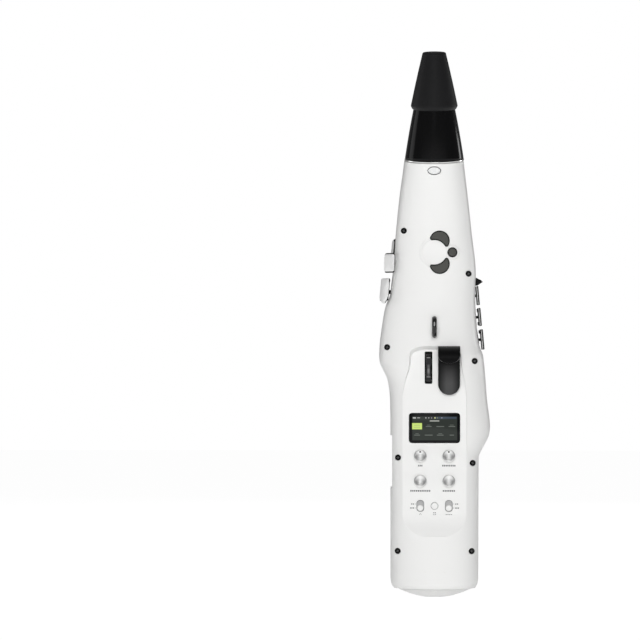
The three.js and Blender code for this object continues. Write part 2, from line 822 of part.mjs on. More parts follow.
const sharedCuts = [neckHole, portWindow, sideBracketSlot, palmBracketSlot, wedgeSlot, keyPockets];
const rearColumns = wasm.Manifold.union(screws.map(({ column }) => column));
const skin = outer.subtract(hollow).add(rearColumns);
const cuts = wasm.Manifold.union([...sharedCuts, ...screws.map(({ passage }) => passage)]);
const shellStock = skin.subtract(cuts);
const boardPosts = [];
for (const side of [-1, 1]) {
  for (const height of [boardFoot + bossRadius, boardTop - bossRadius]) {
    const x = side * (boardHalfWidth - bossRadius / 2);
    boardPosts.push(rodY(bossRadius / 2, x, height, panelY + wall / 2, boardY - fitGap, stemSides));
  }
}

const rearShell = shellStock
  .intersect(halfSpace(-reachY, seamY - fitGap / 2))
  .add(wasm.Manifold.union([dishBacking, rimRing, ...boardPosts]))
  .subtract(dishCutter)
  .subtract(wasm.Manifold.union([...screws.map(({ recess }) => recess), ...padHoles, ...panelHoles]));

const mainPostPlaces = [
  [-mainBoardHalfWidth + bossRadius, mainBoardFoot + bossRadius],
  [mainBoardHalfWidth - bossRadius, mainBoardFoot + bossRadius],
  [-mainBoardHalfWidth + bossRadius, mainBoardShoulder - 2 * bossRadius],
  [mainBoardHalfWidth - bossRadius, mainBoardShoulder - 2 * bossRadius],
];
const mainPosts = mainPostPlaces.map(([x, height]) => {
  const face = surfaceY(x, height, true) - wall / 2;
  return rodY(bossRadius / 2, x, height, mainBoardY + boardThickness + fitGap, face, stemSides);
});
const frontShell = shellStock
  .intersect(halfSpace(seamY + fitGap / 2, reachY))
  .add(wasm.Manifold.union(mainPosts))
  .subtract(wasm.Manifold.union(frontHoles));

// Bottom cap: its domed foot widens with the root of the height and ends in a plug inside the shells
function domeSection(height) {
  const { left, right, middle, reach } = sectionAt(shellFoot, 0);
  const rise = (height + bottomCapFlat) / (shellFoot - fitGap + bottomCapFlat);
  const share = bottomCapShare * Math.sqrt(rise);
  return { left: left * share, right: right * share, middle, reach: reach * share, height };
}

const bottomCapSections = [];
for (let step = 0; step <= bottomCapSteps; step += 1) {
  bottomCapSections.push(domeSection((step / bottomCapSteps) * (shellFoot - fitGap)));
}
const plugTop = shellFoot + bottomCapThickness - fitGap;
bottomCapSections.push({ ...sectionAt(plugTop, -wall - fitGap), height: plugTop });
const bottomCap = stackSolid(bottomCapSections);

// Neck, mouthpiece and cap, built along their own axis
function oval(body) {
  return body.scale([1, neckOvalShare, 1]);
}

const ringBore = tenonRadius + 2 * fitGap;
const neckRing = oval(turned([
  [ringBore, fitGap],
  [ringRadius, fitGap],
  [ringRadius, fitGap + ringThickness],
  [ringBore, fitGap + ringThickness],
  [ringBore, fitGap],
]));
const barrelFoot = ringThickness + 2 * fitGap;
const barrelTop = barrelFoot + barrelLength;
const tenonOval = tenonRadius * neckOvalShare;
const barrelOuter = oval(turned([
  [0, barrelFoot],
  [barrelFootRadius, barrelFoot],
  [barrelTopRadius, barrelTop - capEdge / 2],
  [barrelTopRadius - capEdge / 2, barrelTop],
  [0, barrelTop],
]));
const barrelTenon = turned([
  [0, -tenonLength],
  [tenonOval, -tenonLength],
  [tenonOval, barrelFoot + capEdge],
  [0, barrelFoot + capEdge],
]);
const barrelHoles = turned([
  [0, -cutOverrun],
  [barrelBore, -cutOverrun],
  [barrelBore, barrelTop - beakSocketDepth],
  [beakSocketRadius, barrelTop - beakSocketDepth],
  [beakSocketRadius, barrelTop + cutOverrun],
  [0, barrelTop + cutOverrun],
]);
const barrel = barrelOuter.add(barrelTenon).subtract(barrelHoles);

const beakSeat = barrelTop + fitGap;
const beakTop = beakSeat + beakLength;
const beakTable = -beakTipRadius + reedThickness;
const beakTurned = turned([
  [0, barrelTop - beakSocketDepth + fitGap],
  [beakSocketRadius - fitGap, barrelTop - beakSocketDepth + fitGap],
  [beakSocketRadius - fitGap, beakSeat],
  [beakRadius, beakSeat],
  [beakRadius, beakSeat + beakSocketRadius / 2],
  [beakTipRadius, beakTop],
  [0, beakTop],
], beakSides);
const slopeStart = beakSeat + beakLength / 3;
const slopeShape = new THREE.Shape();
slopeShape.moveTo(beakRadius, slopeStart);
slopeShape.lineTo(beakTable + beakTipThickness, beakTop);
slopeShape.lineTo(beakTable + beakTipThickness, beakTop + cutOverrun);
slopeShape.lineTo(beakRadius + cutOverrun, beakTop + cutOverrun);
slopeShape.lineTo(beakRadius + cutOverrun, slopeStart);
const slopeCut = prismX(slopeShape, -beakRadius - cutOverrun, beakRadius + cutOverrun);
const tableFoot = beakTop - reedLength - fitGap;
const tableCut = box(
  -beakRadius,
  beakRadius,
  -beakRadius - cutOverrun,
  beakTable,
  tableFoot,
  beakTop + cutOverrun,
);
const boreCut = turned([
  [0, 0],
  [beakBore, 0],
  [beakBore, beakTop - reedLength / 2],
  [0, beakTop - reedLength / 2],
], roundSides);
const boreSlot = box(
  -beakBore,
  beakBore,
  beakTable - cutOverrun,
  0,
  tableFoot + beakBore,
  beakTop - reedThickness,
);
const beakTipCut = boreSlot.intersect(beakTurned);
const beak = beakTurned.subtract(slopeCut).subtract(tableCut).subtract(boreCut).subtract(beakTipCut);
const reedShape = new THREE.Shape();
reedShape.moveTo(beakTable - fitGap, tableFoot + fitGap);
reedShape.lineTo(beakTable - fitGap, beakTop);
reedShape.lineTo(beakTable - fitGap - reedThickness / 4, beakTop);
reedShape.lineTo(beakTable - fitGap - reedThickness, beakTop - reedLength / 2);
reedShape.lineTo(beakTable - fitGap - reedThickness, tableFoot + fitGap);
const reed = prismX(reedShape, -reedWidth / 2, reedWidth / 2);

const capFoot = barrelTop - capOverlap;
const capTop = capFoot + capLength;
const mouthpieceCap = oval(turned([
  [0, capTop - capWall],
  [capTopRadius - capWall - capEdge, capTop - capWall],
  [capTopRadius - capWall, capTop - capWall - capEdge],
  [capSkirtRadius - capWall, capFoot],
  [capSkirtRadius - capWall / 2, capFoot],
  [capSkirtRadius, capFoot + capEdge],
  [capTopRadius, capTop - capEdge],
  [capTopRadius - capEdge, capTop],
  [0, capTop],
]));

// Rear controls
function skinPiece(cutter) {
  return cutter.intersect(padSkin.subtract(padCore));
}

const octaveUpPad = skinPiece(crescent(1, 0));
const octaveDownPad = skinPiece(crescent(-1, 0));
const thumbPad = skinPiece(rodY(thumbPadRadius, thumbPadX, dishZ, -reachY, seamY));
const statusLens = skinPiece(lensPrism(0)).subtract(aboveTop);

const glassFace = panelY - glassProud;
const screenGlass = centredPlate(0, glassZ, glassWidth, glassHeight, glassCorner, glassFace, panelY + wall);
const displayWide = glassWidth - displayMargin;
const displayTall = glassHeight + displayMargin;
const displayFace = panelY + wall + fitGap;
const displayModule = centredBox(0, glassZ, displayWide, displayTall, displayFace, boardY - fitGap);

const housingTop = panelY + wall + fitGap;
const housingSize = 2 * (shaftRadius + wall);
const boardBack = boardY + boardThickness;
let controlBoard = box(-boardHalfWidth, boardHalfWidth, boardY, boardBack, boardFoot, boardTop);
for (const [x, height] of shaftPlaces) {
  const housing = centredBox(x, height, housingSize, housingSize, housingTop, boardY);
  const shaft = rodY(shaftRadius, x, height, panelY - knobHeight * shaftShare, boardY);
  controlBoard = controlBoard.add(housing).add(shaft);
}
for (const side of [-1, 1]) {
  const x = side * knobColumnX;
  const tall = switchSlotHeight + wall;
  controlBoard = controlBoard.add(centredBox(x, switchZ, housingSize, tall, housingTop, boardY));
}
const buttonStop = housingTop + buttonTravel + fitGap;
controlBoard = controlBoard.add(centredBox(0, switchZ, housingSize / 2, housingSize / 2, buttonStop, boardY));

function knob(x, height) {
  const foot = panelY - fitGap;
  const head = rodY(knobRadius, x, height, foot - knobHeight, foot, sectionSides);
  const boreEnd = panelY - knobHeight * shaftShare - fitGap;
  const bore = rodY(shaftRadius + fitGap, x, height, boreEnd, foot + cutOverrun);
  return head.subtract(bore);
}

const sliderFoot = switchZ - sliderTravel / 2;
function slider(x) {
  return rodY(sliderRadius, x, sliderFoot, panelY - sliderProud, panelY + wall);
}
const pushButton = rodY(buttonRadius, 0, switchZ, panelY - sliderProud, panelY + wall);

const frameFront = panelY - glassProud;
const frameBack = frameFront + rockerFrameDepth;
const frameCorner = rockerFrameWall;
const frameWide = rockerSlotWidth;
const frameTall = rockerSlotHeight;
const frameOuter = centredPlate(rockerX, rockerZ, frameWide, frameTall, frameCorner, frameFront, frameBack);
const insideWide = rockerSlotWidth - 2 * rockerFrameWall;
const insideTall = rockerSlotHeight - 2 * rockerFrameWall;
const frameFloor = frameBack - rockerFrameWall;
const frameInside = centredBox(rockerX, rockerZ, insideWide, insideTall, frameFront - cutOverrun, frameFloor);
const rockerFrame = frameOuter.subtract(frameInside);

const rockerHalf = insideTall / 2 - fitGap - rockerFrameWall / 2;
const rockerPeak = rockerHalf * rockerPeakShare;
const rockerOutline = new THREE.Shape();
rockerOutline.moveTo(rockerPivotY + rockerWaist, 0);
rockerOutline.lineTo(rockerPivotY, rockerHalf);
rockerOutline.lineTo(panelY - rockerRise / 2, rockerHalf);
rockerOutline.lineTo(panelY - rockerRise, rockerPeak);
rockerOutline.quadraticCurveTo(panelY - rockerWaist / 2, 0, panelY - rockerRise, -rockerPeak);
rockerOutline.lineTo(panelY - rockerRise / 2, -rockerHalf);
rockerOutline.lineTo(rockerPivotY, -rockerHalf);
const rockerWidth = insideWide - slack;
const bendRocker = prismX(rockerOutline, rockerX - rockerWidth / 2, rockerX + rockerWidth / 2)
  .translate([0, 0, rockerZ]);

// Thumb hook: a plate and a visor folded out of its top, seen from the rear as two rounded outlines
const hookBack = panelY - fitGap;
const hookFace = hookBack - hookPlate;
const hookTip = hookBack - hookReach;
const hookSide = new THREE.Shape();
hookSide.moveTo(hookBack, hookFoot);
hookSide.lineTo(hookBack, hookTop);
hookSide.lineTo(hookTip + hookBend, hookTop);
hookSide.absarc(hookTip + hookBend, hookTop - hookBend, hookBend, Math.PI / 2, Math.PI);
hookSide.lineTo(hookTip, hookTop - hookDrop);
hookSide.lineTo(hookTip + hookPlate, hookTop - hookDrop);
hookSide.lineTo(hookTip + hookPlate, hookTop - hookBend);
hookSide.absarc(hookTip + hookBend, hookTop - hookBend, hookBend - hookPlate, Math.PI, Math.PI / 2, true);
hookSide.lineTo(hookFace, hookTop - hookPlate);
hookSide.lineTo(hookFace, hookFoot);
const hookLeft = hookX - hookWidth / 2;
const hookRight = hookX + hookWidth / 2;

function hookOutline(foot, footRadius) {
  const shape = new THREE.Shape();
  const top = hookTop;
  shape.moveTo(hookLeft, foot + footRadius);
  shape.absarc(hookX, foot + footRadius, footRadius, Math.PI, 2 * Math.PI);
  shape.lineTo(hookRight, top - hookCorner);
  shape.absarc(hookRight - hookCorner, top - hookCorner, hookCorner, 0, Math.PI / 2);
  shape.lineTo(hookLeft + hookCorner, top);
  shape.absarc(hookLeft + hookCorner, top - hookCorner, hookCorner, Math.PI / 2, Math.PI);
  return shape;
}

const hookRound = hookWidth / 2;
const hookStock = prismX(hookSide, hookLeft - wall, hookRight + wall, hookSegments);
const hookPlateSpace = prismY(hookOutline(hookFoot, hookRound), hookFace - fitGap, reachY, hookSegments);
const hookVisorSpace = prismY(hookOutline(hookTop - hookDrop, hookRound), -reachX, hookFace, hookSegments);
const thumbHook = hookStock.intersect(hookPlateSpace.add(hookVisorSpace));

// A regular outline of some sides
function ringPoints(radius, sides) {
  return Array.from({ length: sides }, (_, side) => {
    const angle = (2 * Math.PI * side) / sides;
    return new THREE.Vector2(radius * Math.cos(angle), radius * Math.sin(angle));
  });
}

// A round wire along a path, hollow when its bore is above zero
function tube(points, radius, bore, sides, steps) {
  const curve = new THREE.CatmullRomCurve3(points, false, "centripetal");
  const circle = new THREE.Shape(ringPoints(radius, sides));
  if (bore > 0) circle.holes.push(new THREE.Path(ringPoints(bore, sides)));
  return solid(new THREE.ExtrudeGeometry(circle, { steps, bevelEnabled: false, extrudePath: curve }));
}

// Strap ring: a bent wire through the rear wall, with an anchor plate behind it

const strapPoints = [];
strapPoints.push(new THREE.Vector3(0, strapAnchorY - wall, strapZ + strapHalfSpan));
strapPoints.push(new THREE.Vector3(0, (strapAnchorY + strapBendY) / 2, strapZ + strapHalfSpan));
for (let turn = 0; turn <= strapTurns; turn += 1) {
  const angle = (Math.PI * turn) / strapTurns;
  const y = strapBendY - strapHalfSpan * Math.sin(angle);
  strapPoints.push(new THREE.Vector3(0, y, strapZ + strapHalfSpan * Math.cos(angle)));
}
strapPoints.push(new THREE.Vector3(0, (strapAnchorY + strapBendY) / 2, strapZ - strapHalfSpan));
strapPoints.push(new THREE.Vector3(0, strapAnchorY - wall, strapZ - strapHalfSpan));
const anchorHalf = strapHalfSpan + 2 * strapWire;
const anchorFace = surfaceY(0, strapZ + anchorHalf) + wall + fitGap;
const anchor = centredBox(0, strapZ, 4 * strapWire, 2 * anchorHalf, anchorFace, anchorFace + wall);
const strapLegs = [-1, 1].map((side) =>
  rodY(strapWire, 0, strapZ + side * strapHalfSpan, strapAnchorY - 2 * wall, anchorFace + wall / 2));
const strapWireBody = tube(strapPoints, strapWire, 0, roundSides, strapSteps);
const strapRing = strapWireBody.add(wasm.Manifold.union([anchor, ...strapLegs]));

// Case screws
function caseScrew([x, height], { seat }) {
  const headFoot = seat - fitGap;
  const head = rodY(screwHeadRadius, x, height, headFoot - screwHeadHeight, headFoot, roundSides);
  const middle = headFoot - screwHeadHeight / 2;
  const shank = rodY(screwShankRadius, x, height, middle, seamY + screwGrip, stemSides);
  const socket = rodY(screwShankRadius, x, height, headFoot - cutOverrun, middle, socketSides);
  return head.add(shank).subtract(socket);
}

// Ports in the left side
function slotShape(y, height, tall) {
  const half = socketSlotWidth / 2;
  return roundedRectangle(y - half, y + half, height - tall / 2, height + tall / 2, half - fitGap);
}

const portInner = portX + portThickness;
const [plateY0, plateY1] = [portFromY + fitGap, portToY - fitGap];
const [plateZ0, plateZ1] = [portFromZ + fitGap, portToZ - fitGap];
const usbHole = prismX(slotShape(usbY, usbZ, usbSlotHeight), -reachX, portInner + socketDepth);
const powerHole = prismX(slotShape(powerY, powerZ, powerSlotHeight), -reachX, portInner + socketDepth);
const portPanel = box(portX, portInner, plateY0, plateY1, plateZ0, plateZ1)
  .subtract(rodX(jackNutRadius + fitGap, jackY, jackZ, -reachX, 0))
  .subtract(usbHole)
  .subtract(powerHole);
const jackSize = 2 * jackNutRadius + wall;
const jackBlock = box(
  portInner + fitGap,
  portInner + jackBodyDepth,
  jackY - jackSize / 2,
  jackY + jackSize / 2,
  jackZ - jackSize / 2,
  jackZ + jackSize / 2,
);
const phonesJack = jackBlock
  .add(rodX(jackNutRadius, jackY, jackZ, portX - fitGap, portInner + wall))
  .subtract(rodX(jackBore, jackY, jackZ, -reachX, portInner + jackBodyDepth - wall));

function socketBody(y, height, tall) {
  const halfY = socketSlotWidth / 2 + socketWall;
  const halfZ = tall / 2 + socketWall;
  const back = portInner + socketDepth + socketWall;
  return box(portInner + fitGap, back, y - halfY, y + halfY, height - halfZ, height + halfZ);
}

const portBoardX = portInner + socketDepth + socketWall - fitGap;
const portBoardPlate = box(
  portBoardX,
  portBoardX + boardThickness,
  plateY0,
  plateY1,
  usbZ - usbSlotHeight,
  usbZ + usbSlotHeight,
);
const portBoard = portBoardPlate
  .add(socketBody(usbY, usbZ, usbSlotHeight))
  .add(socketBody(powerY, powerZ, powerSlotHeight))
  .subtract(usbHole)
  .subtract(powerHole);

// Main board, battery, breath sensor and air tube
const boardOutline = new THREE.Shape();
const neckHalf = mainBoardHalfWidth * mainBoardNeckShare;
boardOutline.moveTo(-mainBoardHalfWidth, mainBoardFoot);
boardOutline.lineTo(mainBoardHalfWidth, mainBoardFoot);
boardOutline.lineTo(mainBoardHalfWidth, mainBoardShoulder);
boardOutline.lineTo(neckHalf, mainBoardShoulder + neckHalf);
boardOutline.lineTo(neckHalf, mainBoardTop);
boardOutline.lineTo(-neckHalf, mainBoardTop);
boardOutline.lineTo(-neckHalf, mainBoardShoulder + neckHalf);
boardOutline.lineTo(-mainBoardHalfWidth, mainBoardShoulder);
let mainBoard = prismY(boardOutline, mainBoardY, mainBoardY + boardThickness);
for (const [x, height] of roundKeyPlaces) {
  const top = switchTopY;
  mainBoard = mainBoard.add(centredBox(x, height, keySwitchSize, keySwitchSize, mainBoardY, top));
}
for (const [x, height] of pinkyPlaces) {
  const arm = box(
    Math.min(0, x) - (x < 0 ? keySwitchSize / 2 : 0),
    Math.max(0, x) + (x < 0 ? 0 : keySwitchSize / 2),
    mainBoardY,
    mainBoardY + boardThickness,
    height - keySwitchSize,
    height + keySwitchSize,
  );
  const keySwitch = centredBox(x, height, keySwitchSize, keySwitchSize, mainBoardY, switchTopY);
  mainBoard = mainBoard.add(arm).add(keySwitch);
}

const batteryBack = mainBoardY - fitGap;
const batteryZ = (batteryFoot + batteryTop) / 2;
const batteryFace = batteryBack - batteryDepth;
const batteryPack = centredBox(0, batteryZ, batteryWidth, batteryTall, batteryFace, batteryBack);

const sensorTop = mainBoardTop - fitGap;
const sensorFront = mainBoardY - fitGap;
const breathSensor = box(
  -sensorWidth / 2,
  sensorWidth / 2,
  sensorFront - sensorDepth,
  sensorFront,
  sensorTop - sensorHeight,
  sensorTop,
);
const neckAxisFoot = new THREE.Vector3(0, topSection.middle, neckFoot);
const neckDirection = new THREE.Vector3(0, -Math.sin(neckLean), Math.cos(neckLean));
const tubeEnd = barrelTop - beakSocketDepth - fitGap;
const airPoints = [
  new THREE.Vector3(0, sensorFront - sensorDepth / 2, sensorTop + fitGap),
  new THREE.Vector3(0, sensorFront - sensorDepth / 2, sensorTop + sensorHeight),
  neckAxisFoot.clone().addScaledVector(neckDirection, -tenonLength),
  neckAxisFoot.clone().addScaledVector(neckDirection, tubeEnd / 2),
  neckAxisFoot.clone().addScaledVector(neckDirection, tubeEnd),
];
const airTube = tube(airPoints, airTubeRadius, airTubeBore, stemSides, airSteps);

// Scene
const instrument = new THREE.Group();
instrument.position.set(0, -strapBendY, -strapZ);
const neck = new THREE.Group();
neck.applyMatrix4(neckFrame);
instrument.add(neck);

function place(name, body, material, parent = instrument) {
  const mesh = new THREE.Mesh(toGeometry(body), material);
  mesh.name = name;
  parent.add(mesh);
  return mesh;
}

function placeKey(name, { frame, body }, material) {
  const mesh = place(name, body, material);
  mesh.applyMatrix4(frame);
}

place("rear_shell", rearShell, whitePlastic);
place("front_shell", frontShell, whitePlastic);
place("bottom_cap", bottomCap, whitePlastic);
place("neck_ring", neckRing, chrome, neck);
place("neck_barrel", barrel, blackGloss, neck);
place("mouthpiece_beak", beak, blackGloss, neck);
place("mouthpiece_reed", reed, reedCane, neck);
place("mouthpiece_cap", mouthpieceCap, blackSatin, neck);
place("status_lens", statusLens, siliconeClear);
place("octave_up_pad", octaveUpPad, greyPad);
place("octave_down_pad", octaveDownPad, greyPad);
place("thumb_pad", thumbPad, greyPad);
place("strap_ring", strapRing, darkSteel);
place("thumb_hook", thumbHook, blackSatin);
place("rocker_frame", rockerFrame, blackGloss);
place("bend_rocker", bendRocker, blackGloss);
place("screen_glass", screenGlass, glassBlack);
place("display_module", displayModule, blackSatin);
place("control_board", controlBoard, boardGreen);
const knobNames = ["upper_left_knob", "upper_right_knob", "lower_left_knob", "lower_right_knob"];
knobNames.forEach((name, order) => place(name, knob(...shaftPlaces[order]), aluminium));
place("left_slide_switch", slider(-knobColumnX), whitePlastic);
place("right_slide_switch", slider(knobColumnX), whitePlastic);
place("push_button", pushButton, whitePlastic);
place("port_panel", portPanel, greyPad);
place("phones_jack", phonesJack, blackGloss);
place("port_board", portBoard, darkSteel);
screwPlaces.forEach((spot, order) =>
  place(`case_screw_${order + 1}`, caseScrew(spot, screws[order]), darkSteel));
place("main_board", mainBoard, boardGreen);
place("battery_pack", batteryPack, batteryBlue);
place("breath_sensor", breathSensor, blackSatin);
place("air_tube", airTube, siliconeClear);
place("palm_key_bracket", palmBracket, whitePlastic);
place("side_key_bracket", sideBracket, blackSatin);
palmKeys.forEach((key, order) => placeKey(`palm_key_${order + 1}`, key, chrome));
sideKeys.forEach((key, order) => placeKey(`side_key_${order + 1}`, key, chrome));
upperKeyPlaces.forEach((spot, order) => place(`upper_key_${order + 1}`, roundKey(spot), chrome));
lowerKeyPlaces.forEach((spot, order) => place(`lower_key_${order + 1}`, roundKey(spot), chrome));
leftPinkyPlaces.forEach((spot, order) => place(`left_pinky_key_${order + 1}`, pinkyKey(spot), chrome));
rightPinkyPlaces.forEach((spot, order) => place(`right_pinky_key_${order + 1}`, pinkyKey(spot), chrome));

const controller = new THREE.Group();
controller.add(instrument);
export default controller;
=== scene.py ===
"""Dresses the digital wind controller: smooth shells, neck, controls and keys over the fixed frame.

Shapes are worked out in millimetres from the instrument's foot, as in the part's source, and put in the
frame's metres when their mesh is made. X runs to the player's right, -Y faces the player, Z runs up.
"""

import json
import math

import bmesh
import bpy
import numpy as np
from mathutils import Matrix, Vector
from mathutils.bvhtree import BVHTree
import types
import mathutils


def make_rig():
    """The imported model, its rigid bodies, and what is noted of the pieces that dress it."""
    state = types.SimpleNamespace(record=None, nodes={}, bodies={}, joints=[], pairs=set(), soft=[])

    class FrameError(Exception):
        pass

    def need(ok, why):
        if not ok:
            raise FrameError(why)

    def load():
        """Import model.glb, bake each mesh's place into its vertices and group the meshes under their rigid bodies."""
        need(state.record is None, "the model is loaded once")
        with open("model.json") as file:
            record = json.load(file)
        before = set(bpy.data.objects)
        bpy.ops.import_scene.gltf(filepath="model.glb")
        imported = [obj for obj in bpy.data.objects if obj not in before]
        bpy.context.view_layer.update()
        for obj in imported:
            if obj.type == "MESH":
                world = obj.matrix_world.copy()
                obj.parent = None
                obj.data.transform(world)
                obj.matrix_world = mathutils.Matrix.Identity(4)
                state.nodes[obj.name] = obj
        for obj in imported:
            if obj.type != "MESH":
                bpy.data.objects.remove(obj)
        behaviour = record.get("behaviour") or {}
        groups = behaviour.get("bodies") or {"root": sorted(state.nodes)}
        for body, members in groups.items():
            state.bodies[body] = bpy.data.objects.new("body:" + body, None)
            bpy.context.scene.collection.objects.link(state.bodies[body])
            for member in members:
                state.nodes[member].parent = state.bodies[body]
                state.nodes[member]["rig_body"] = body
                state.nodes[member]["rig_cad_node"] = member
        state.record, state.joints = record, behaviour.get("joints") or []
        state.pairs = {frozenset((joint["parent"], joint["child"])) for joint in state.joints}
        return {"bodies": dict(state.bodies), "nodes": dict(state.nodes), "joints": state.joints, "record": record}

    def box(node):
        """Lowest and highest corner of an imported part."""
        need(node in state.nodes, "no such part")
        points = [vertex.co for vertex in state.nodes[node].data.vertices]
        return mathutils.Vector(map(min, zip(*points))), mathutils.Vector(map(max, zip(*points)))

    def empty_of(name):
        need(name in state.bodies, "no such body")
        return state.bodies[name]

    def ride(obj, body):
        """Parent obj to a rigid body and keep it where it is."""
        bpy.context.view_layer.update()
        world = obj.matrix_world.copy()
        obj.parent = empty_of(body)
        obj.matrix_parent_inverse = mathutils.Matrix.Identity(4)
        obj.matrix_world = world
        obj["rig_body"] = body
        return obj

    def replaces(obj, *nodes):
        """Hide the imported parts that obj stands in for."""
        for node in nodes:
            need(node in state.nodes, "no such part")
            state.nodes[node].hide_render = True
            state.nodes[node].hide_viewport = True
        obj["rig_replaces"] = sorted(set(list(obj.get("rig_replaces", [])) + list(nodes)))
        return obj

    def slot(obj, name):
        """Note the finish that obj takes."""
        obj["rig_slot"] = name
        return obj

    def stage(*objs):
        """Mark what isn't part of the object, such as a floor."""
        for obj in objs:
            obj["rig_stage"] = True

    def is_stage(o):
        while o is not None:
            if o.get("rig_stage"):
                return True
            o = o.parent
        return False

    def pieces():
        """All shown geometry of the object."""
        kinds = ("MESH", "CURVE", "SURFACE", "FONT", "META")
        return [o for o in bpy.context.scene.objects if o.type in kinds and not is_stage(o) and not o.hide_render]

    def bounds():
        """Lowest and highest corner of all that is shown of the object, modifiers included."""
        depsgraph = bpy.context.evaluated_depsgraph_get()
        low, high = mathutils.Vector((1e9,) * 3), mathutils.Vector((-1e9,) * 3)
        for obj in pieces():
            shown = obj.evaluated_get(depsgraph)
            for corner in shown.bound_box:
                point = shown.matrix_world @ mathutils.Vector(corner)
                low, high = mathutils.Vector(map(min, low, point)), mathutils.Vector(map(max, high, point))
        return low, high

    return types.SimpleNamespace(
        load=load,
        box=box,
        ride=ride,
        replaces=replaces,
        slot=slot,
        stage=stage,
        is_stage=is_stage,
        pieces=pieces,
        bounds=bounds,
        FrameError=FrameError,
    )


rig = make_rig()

bl_info = {
    "name": "Digital wind controller",
    "version": (1, 0, 0),
    "blender": (4, 5, 0),
    "location": "3D View > Sidebar > Wind controller",
    "description": "Builds the visible pieces of a sax-style digital wind controller over its frame",
    "category": "Add Mesh",
}

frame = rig.load()
cad_low, cad_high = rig.bounds()
FOOT = next(m["pos_m"] for m in frame["record"]["mounts"] if m["name"] == "bottom_face")
MM = 0.001

# Rows of the body's outline: share of the height, then shares of the half width or the half depth
SHELL_HEIGHT, HALF_WIDTH, HALF_DEPTH = 456.0, 46.5, 35.5
SECTION_POWER, WALL, GAP, SEAM_Y = 2.3, 2.5, 0.3, -2.0
OUTLINE = np.array([
    [0.0, 0.83, 0.82], [0.0208, 0.93, 0.92], [0.028, 0.973, 0.96], [0.037, 0.995, 0.98],
    [0.045, 1.0, 0.985], [0.32, 1.0, 1.0], [0.344, 1.0, 1.1], [0.373, 1.0, 1.235], [0.39, 1.0, 1.256],
    [0.454, 1.008, 1.19], [0.498, 1.06, 1.157], [0.524, 1.17, 1.137], [0.54, 1.24, 1.12],
    [0.556, 1.254, 1.1], [0.578, 1.245, 1.02], [0.62, 1.195, 0.955], [0.66, 1.13, 0.93],
    [0.675, 1.09, 0.925], [0.697, 1.0, 0.92], [0.743, 0.944, 0.938], [0.84, 0.871, 0.843],
    [0.923, 0.787, 0.755], [0.995, 0.69, 0.672], [1.06, 0.62, 0.6]])
DEPTH = np.array([
    [0.0, 0.82, 0.81], [0.0208, 0.93, 0.92], [0.03, 0.98, 0.975], [0.042, 1.0, 1.0], [0.5, 1.0, 1.0],
    [0.57, 0.96, 0.96], [0.62, 0.91, 0.89], [0.743, 0.89, 0.73], [0.853, 0.93, 0.606],
    [0.923, 1.014, 0.52], [1.0, 1.127, 0.45], [1.06, 1.22, 0.38]])
SHELL_FOOT, BODY_TOP, INNER_TOP, BELOW_FOOT, ABOVE_TOP = 9.5, 483.0, 441.0, -40.0, 520.0
# Stretches of the height with closer rings: from, to and how many
FINE_ROWS = [(SHELL_FOOT, 22.0, 12), (236.0, 268.0, 16)]
BOTTOM_FLAT, BOTTOM_SHARE, PLUG_HEIGHT, DIMPLE_RADIUS, DIMPLE_Y = 0.9, 0.92, 3.0, 0.9, -24.5
NECK_LEAN, NECK_OVAL, NECK_RISE, NECK_BORE, NECK_SIDES = math.radians(12.5), 0.88, 2.8, 15.3, 128
RING_LOW, RING_HIGH, BARREL_LOW, BARREL_HIGH, TENON_BORE, TENON_TOP = 0.3, 1.8, 2.1, 57.1, 7.2, 41.1
CAP_LOW, CAP_TOP, CAP_WALL, CAP_EDGE = 54.15, 113.6, 2.2, 1.9
DISH_Z, DISH_RADIUS, DISH_DEPTH = 361.0, 13.1, 1.1
PAD_X, PAD_RISE, PAD_RADIUS, PAD_TIP = 5.5, 12.1, 10.3, 1.9
PAD_STEPS, TIP_STEPS, PAD_PROUD, PAD_DEPTH = 36, 8, 0.2, 2.0
LENS_Z, LENS_SIZE = 445.8, (6.85, 4.1)
THUMB_PAD_X, THUMB_PAD_RADIUS, RIM_RADIUS = 18.8, 5.0, 7.8
PANEL_Y, PANEL_TOP, PANEL_FOOT, PANEL_CORNER = -27.0, 257.9, 80.0, 9.0
PANEL_LEFT, PANEL_RIGHT, PANEL_HALF_FOOT, PANEL_RUN, PANEL_WIDENS = 24.3, 27.4, 33.4, 15.0, (243.0, 218.0)
PANEL_SLOPE, PANEL_SIDE_SLOPES = 0.5, (0.42, 0.12)
PANEL_DROP, PANEL_ROUNDS = 7.5, [PANEL_CORNER, 12.0, 12.0, 6.0, 12.0]
GLASS_Z, GLASS_SIZE, GLASS_CORNER = 177.5, (53.0, 31.0), 3.0
KNOB_X, KNOB_ROWS, KNOB_BORE, SWITCH_Z = 14.9, (148.4, 122.3), 3.3, 96.2
SLOT_WIDE, SLOT_TALL, SLOT_CORNER, SWITCH_DROP, SWITCH_PROUD = 7.7, 12.0, 3.55, 2.2, 1.2
SWITCH_RADIUS, BUTTON_RADIUS, BUTTON_HOLE = 3.2, 3.5, 3.8
ROCKER_X, ROCKER_Z, ROCKER_PEAK, ROCKER_HALF, ROCKER_WIDE = -6.2, 240.5, 0.68, 14.7, 4.8
ROCKER_PIVOT_Y, ROCKER_RISE, ROCKER_WAIST = -24.0, 6.2, 2.2
WELL_WIDE, WELL_TALL, WELL_WALL, WELL_FLOOR_Y = 7.4, 33.0, 1.0, -20.3
HOOK_X, HOOK_RISE, HOOK_BEND, HOOK_FOLD, HOOK_SIDE_DROP, HOOK_MIDDLE_DROP = 15.25, 3.6, 18.2, 5.0, 9.4, 18.15
STRAP_Z, STRAP_SPAN, STRAP_WIRE, STRAP_OVAL, STRAP_BEND_Y = 283.0, 8.8, 2.3, 0.25, -43.2
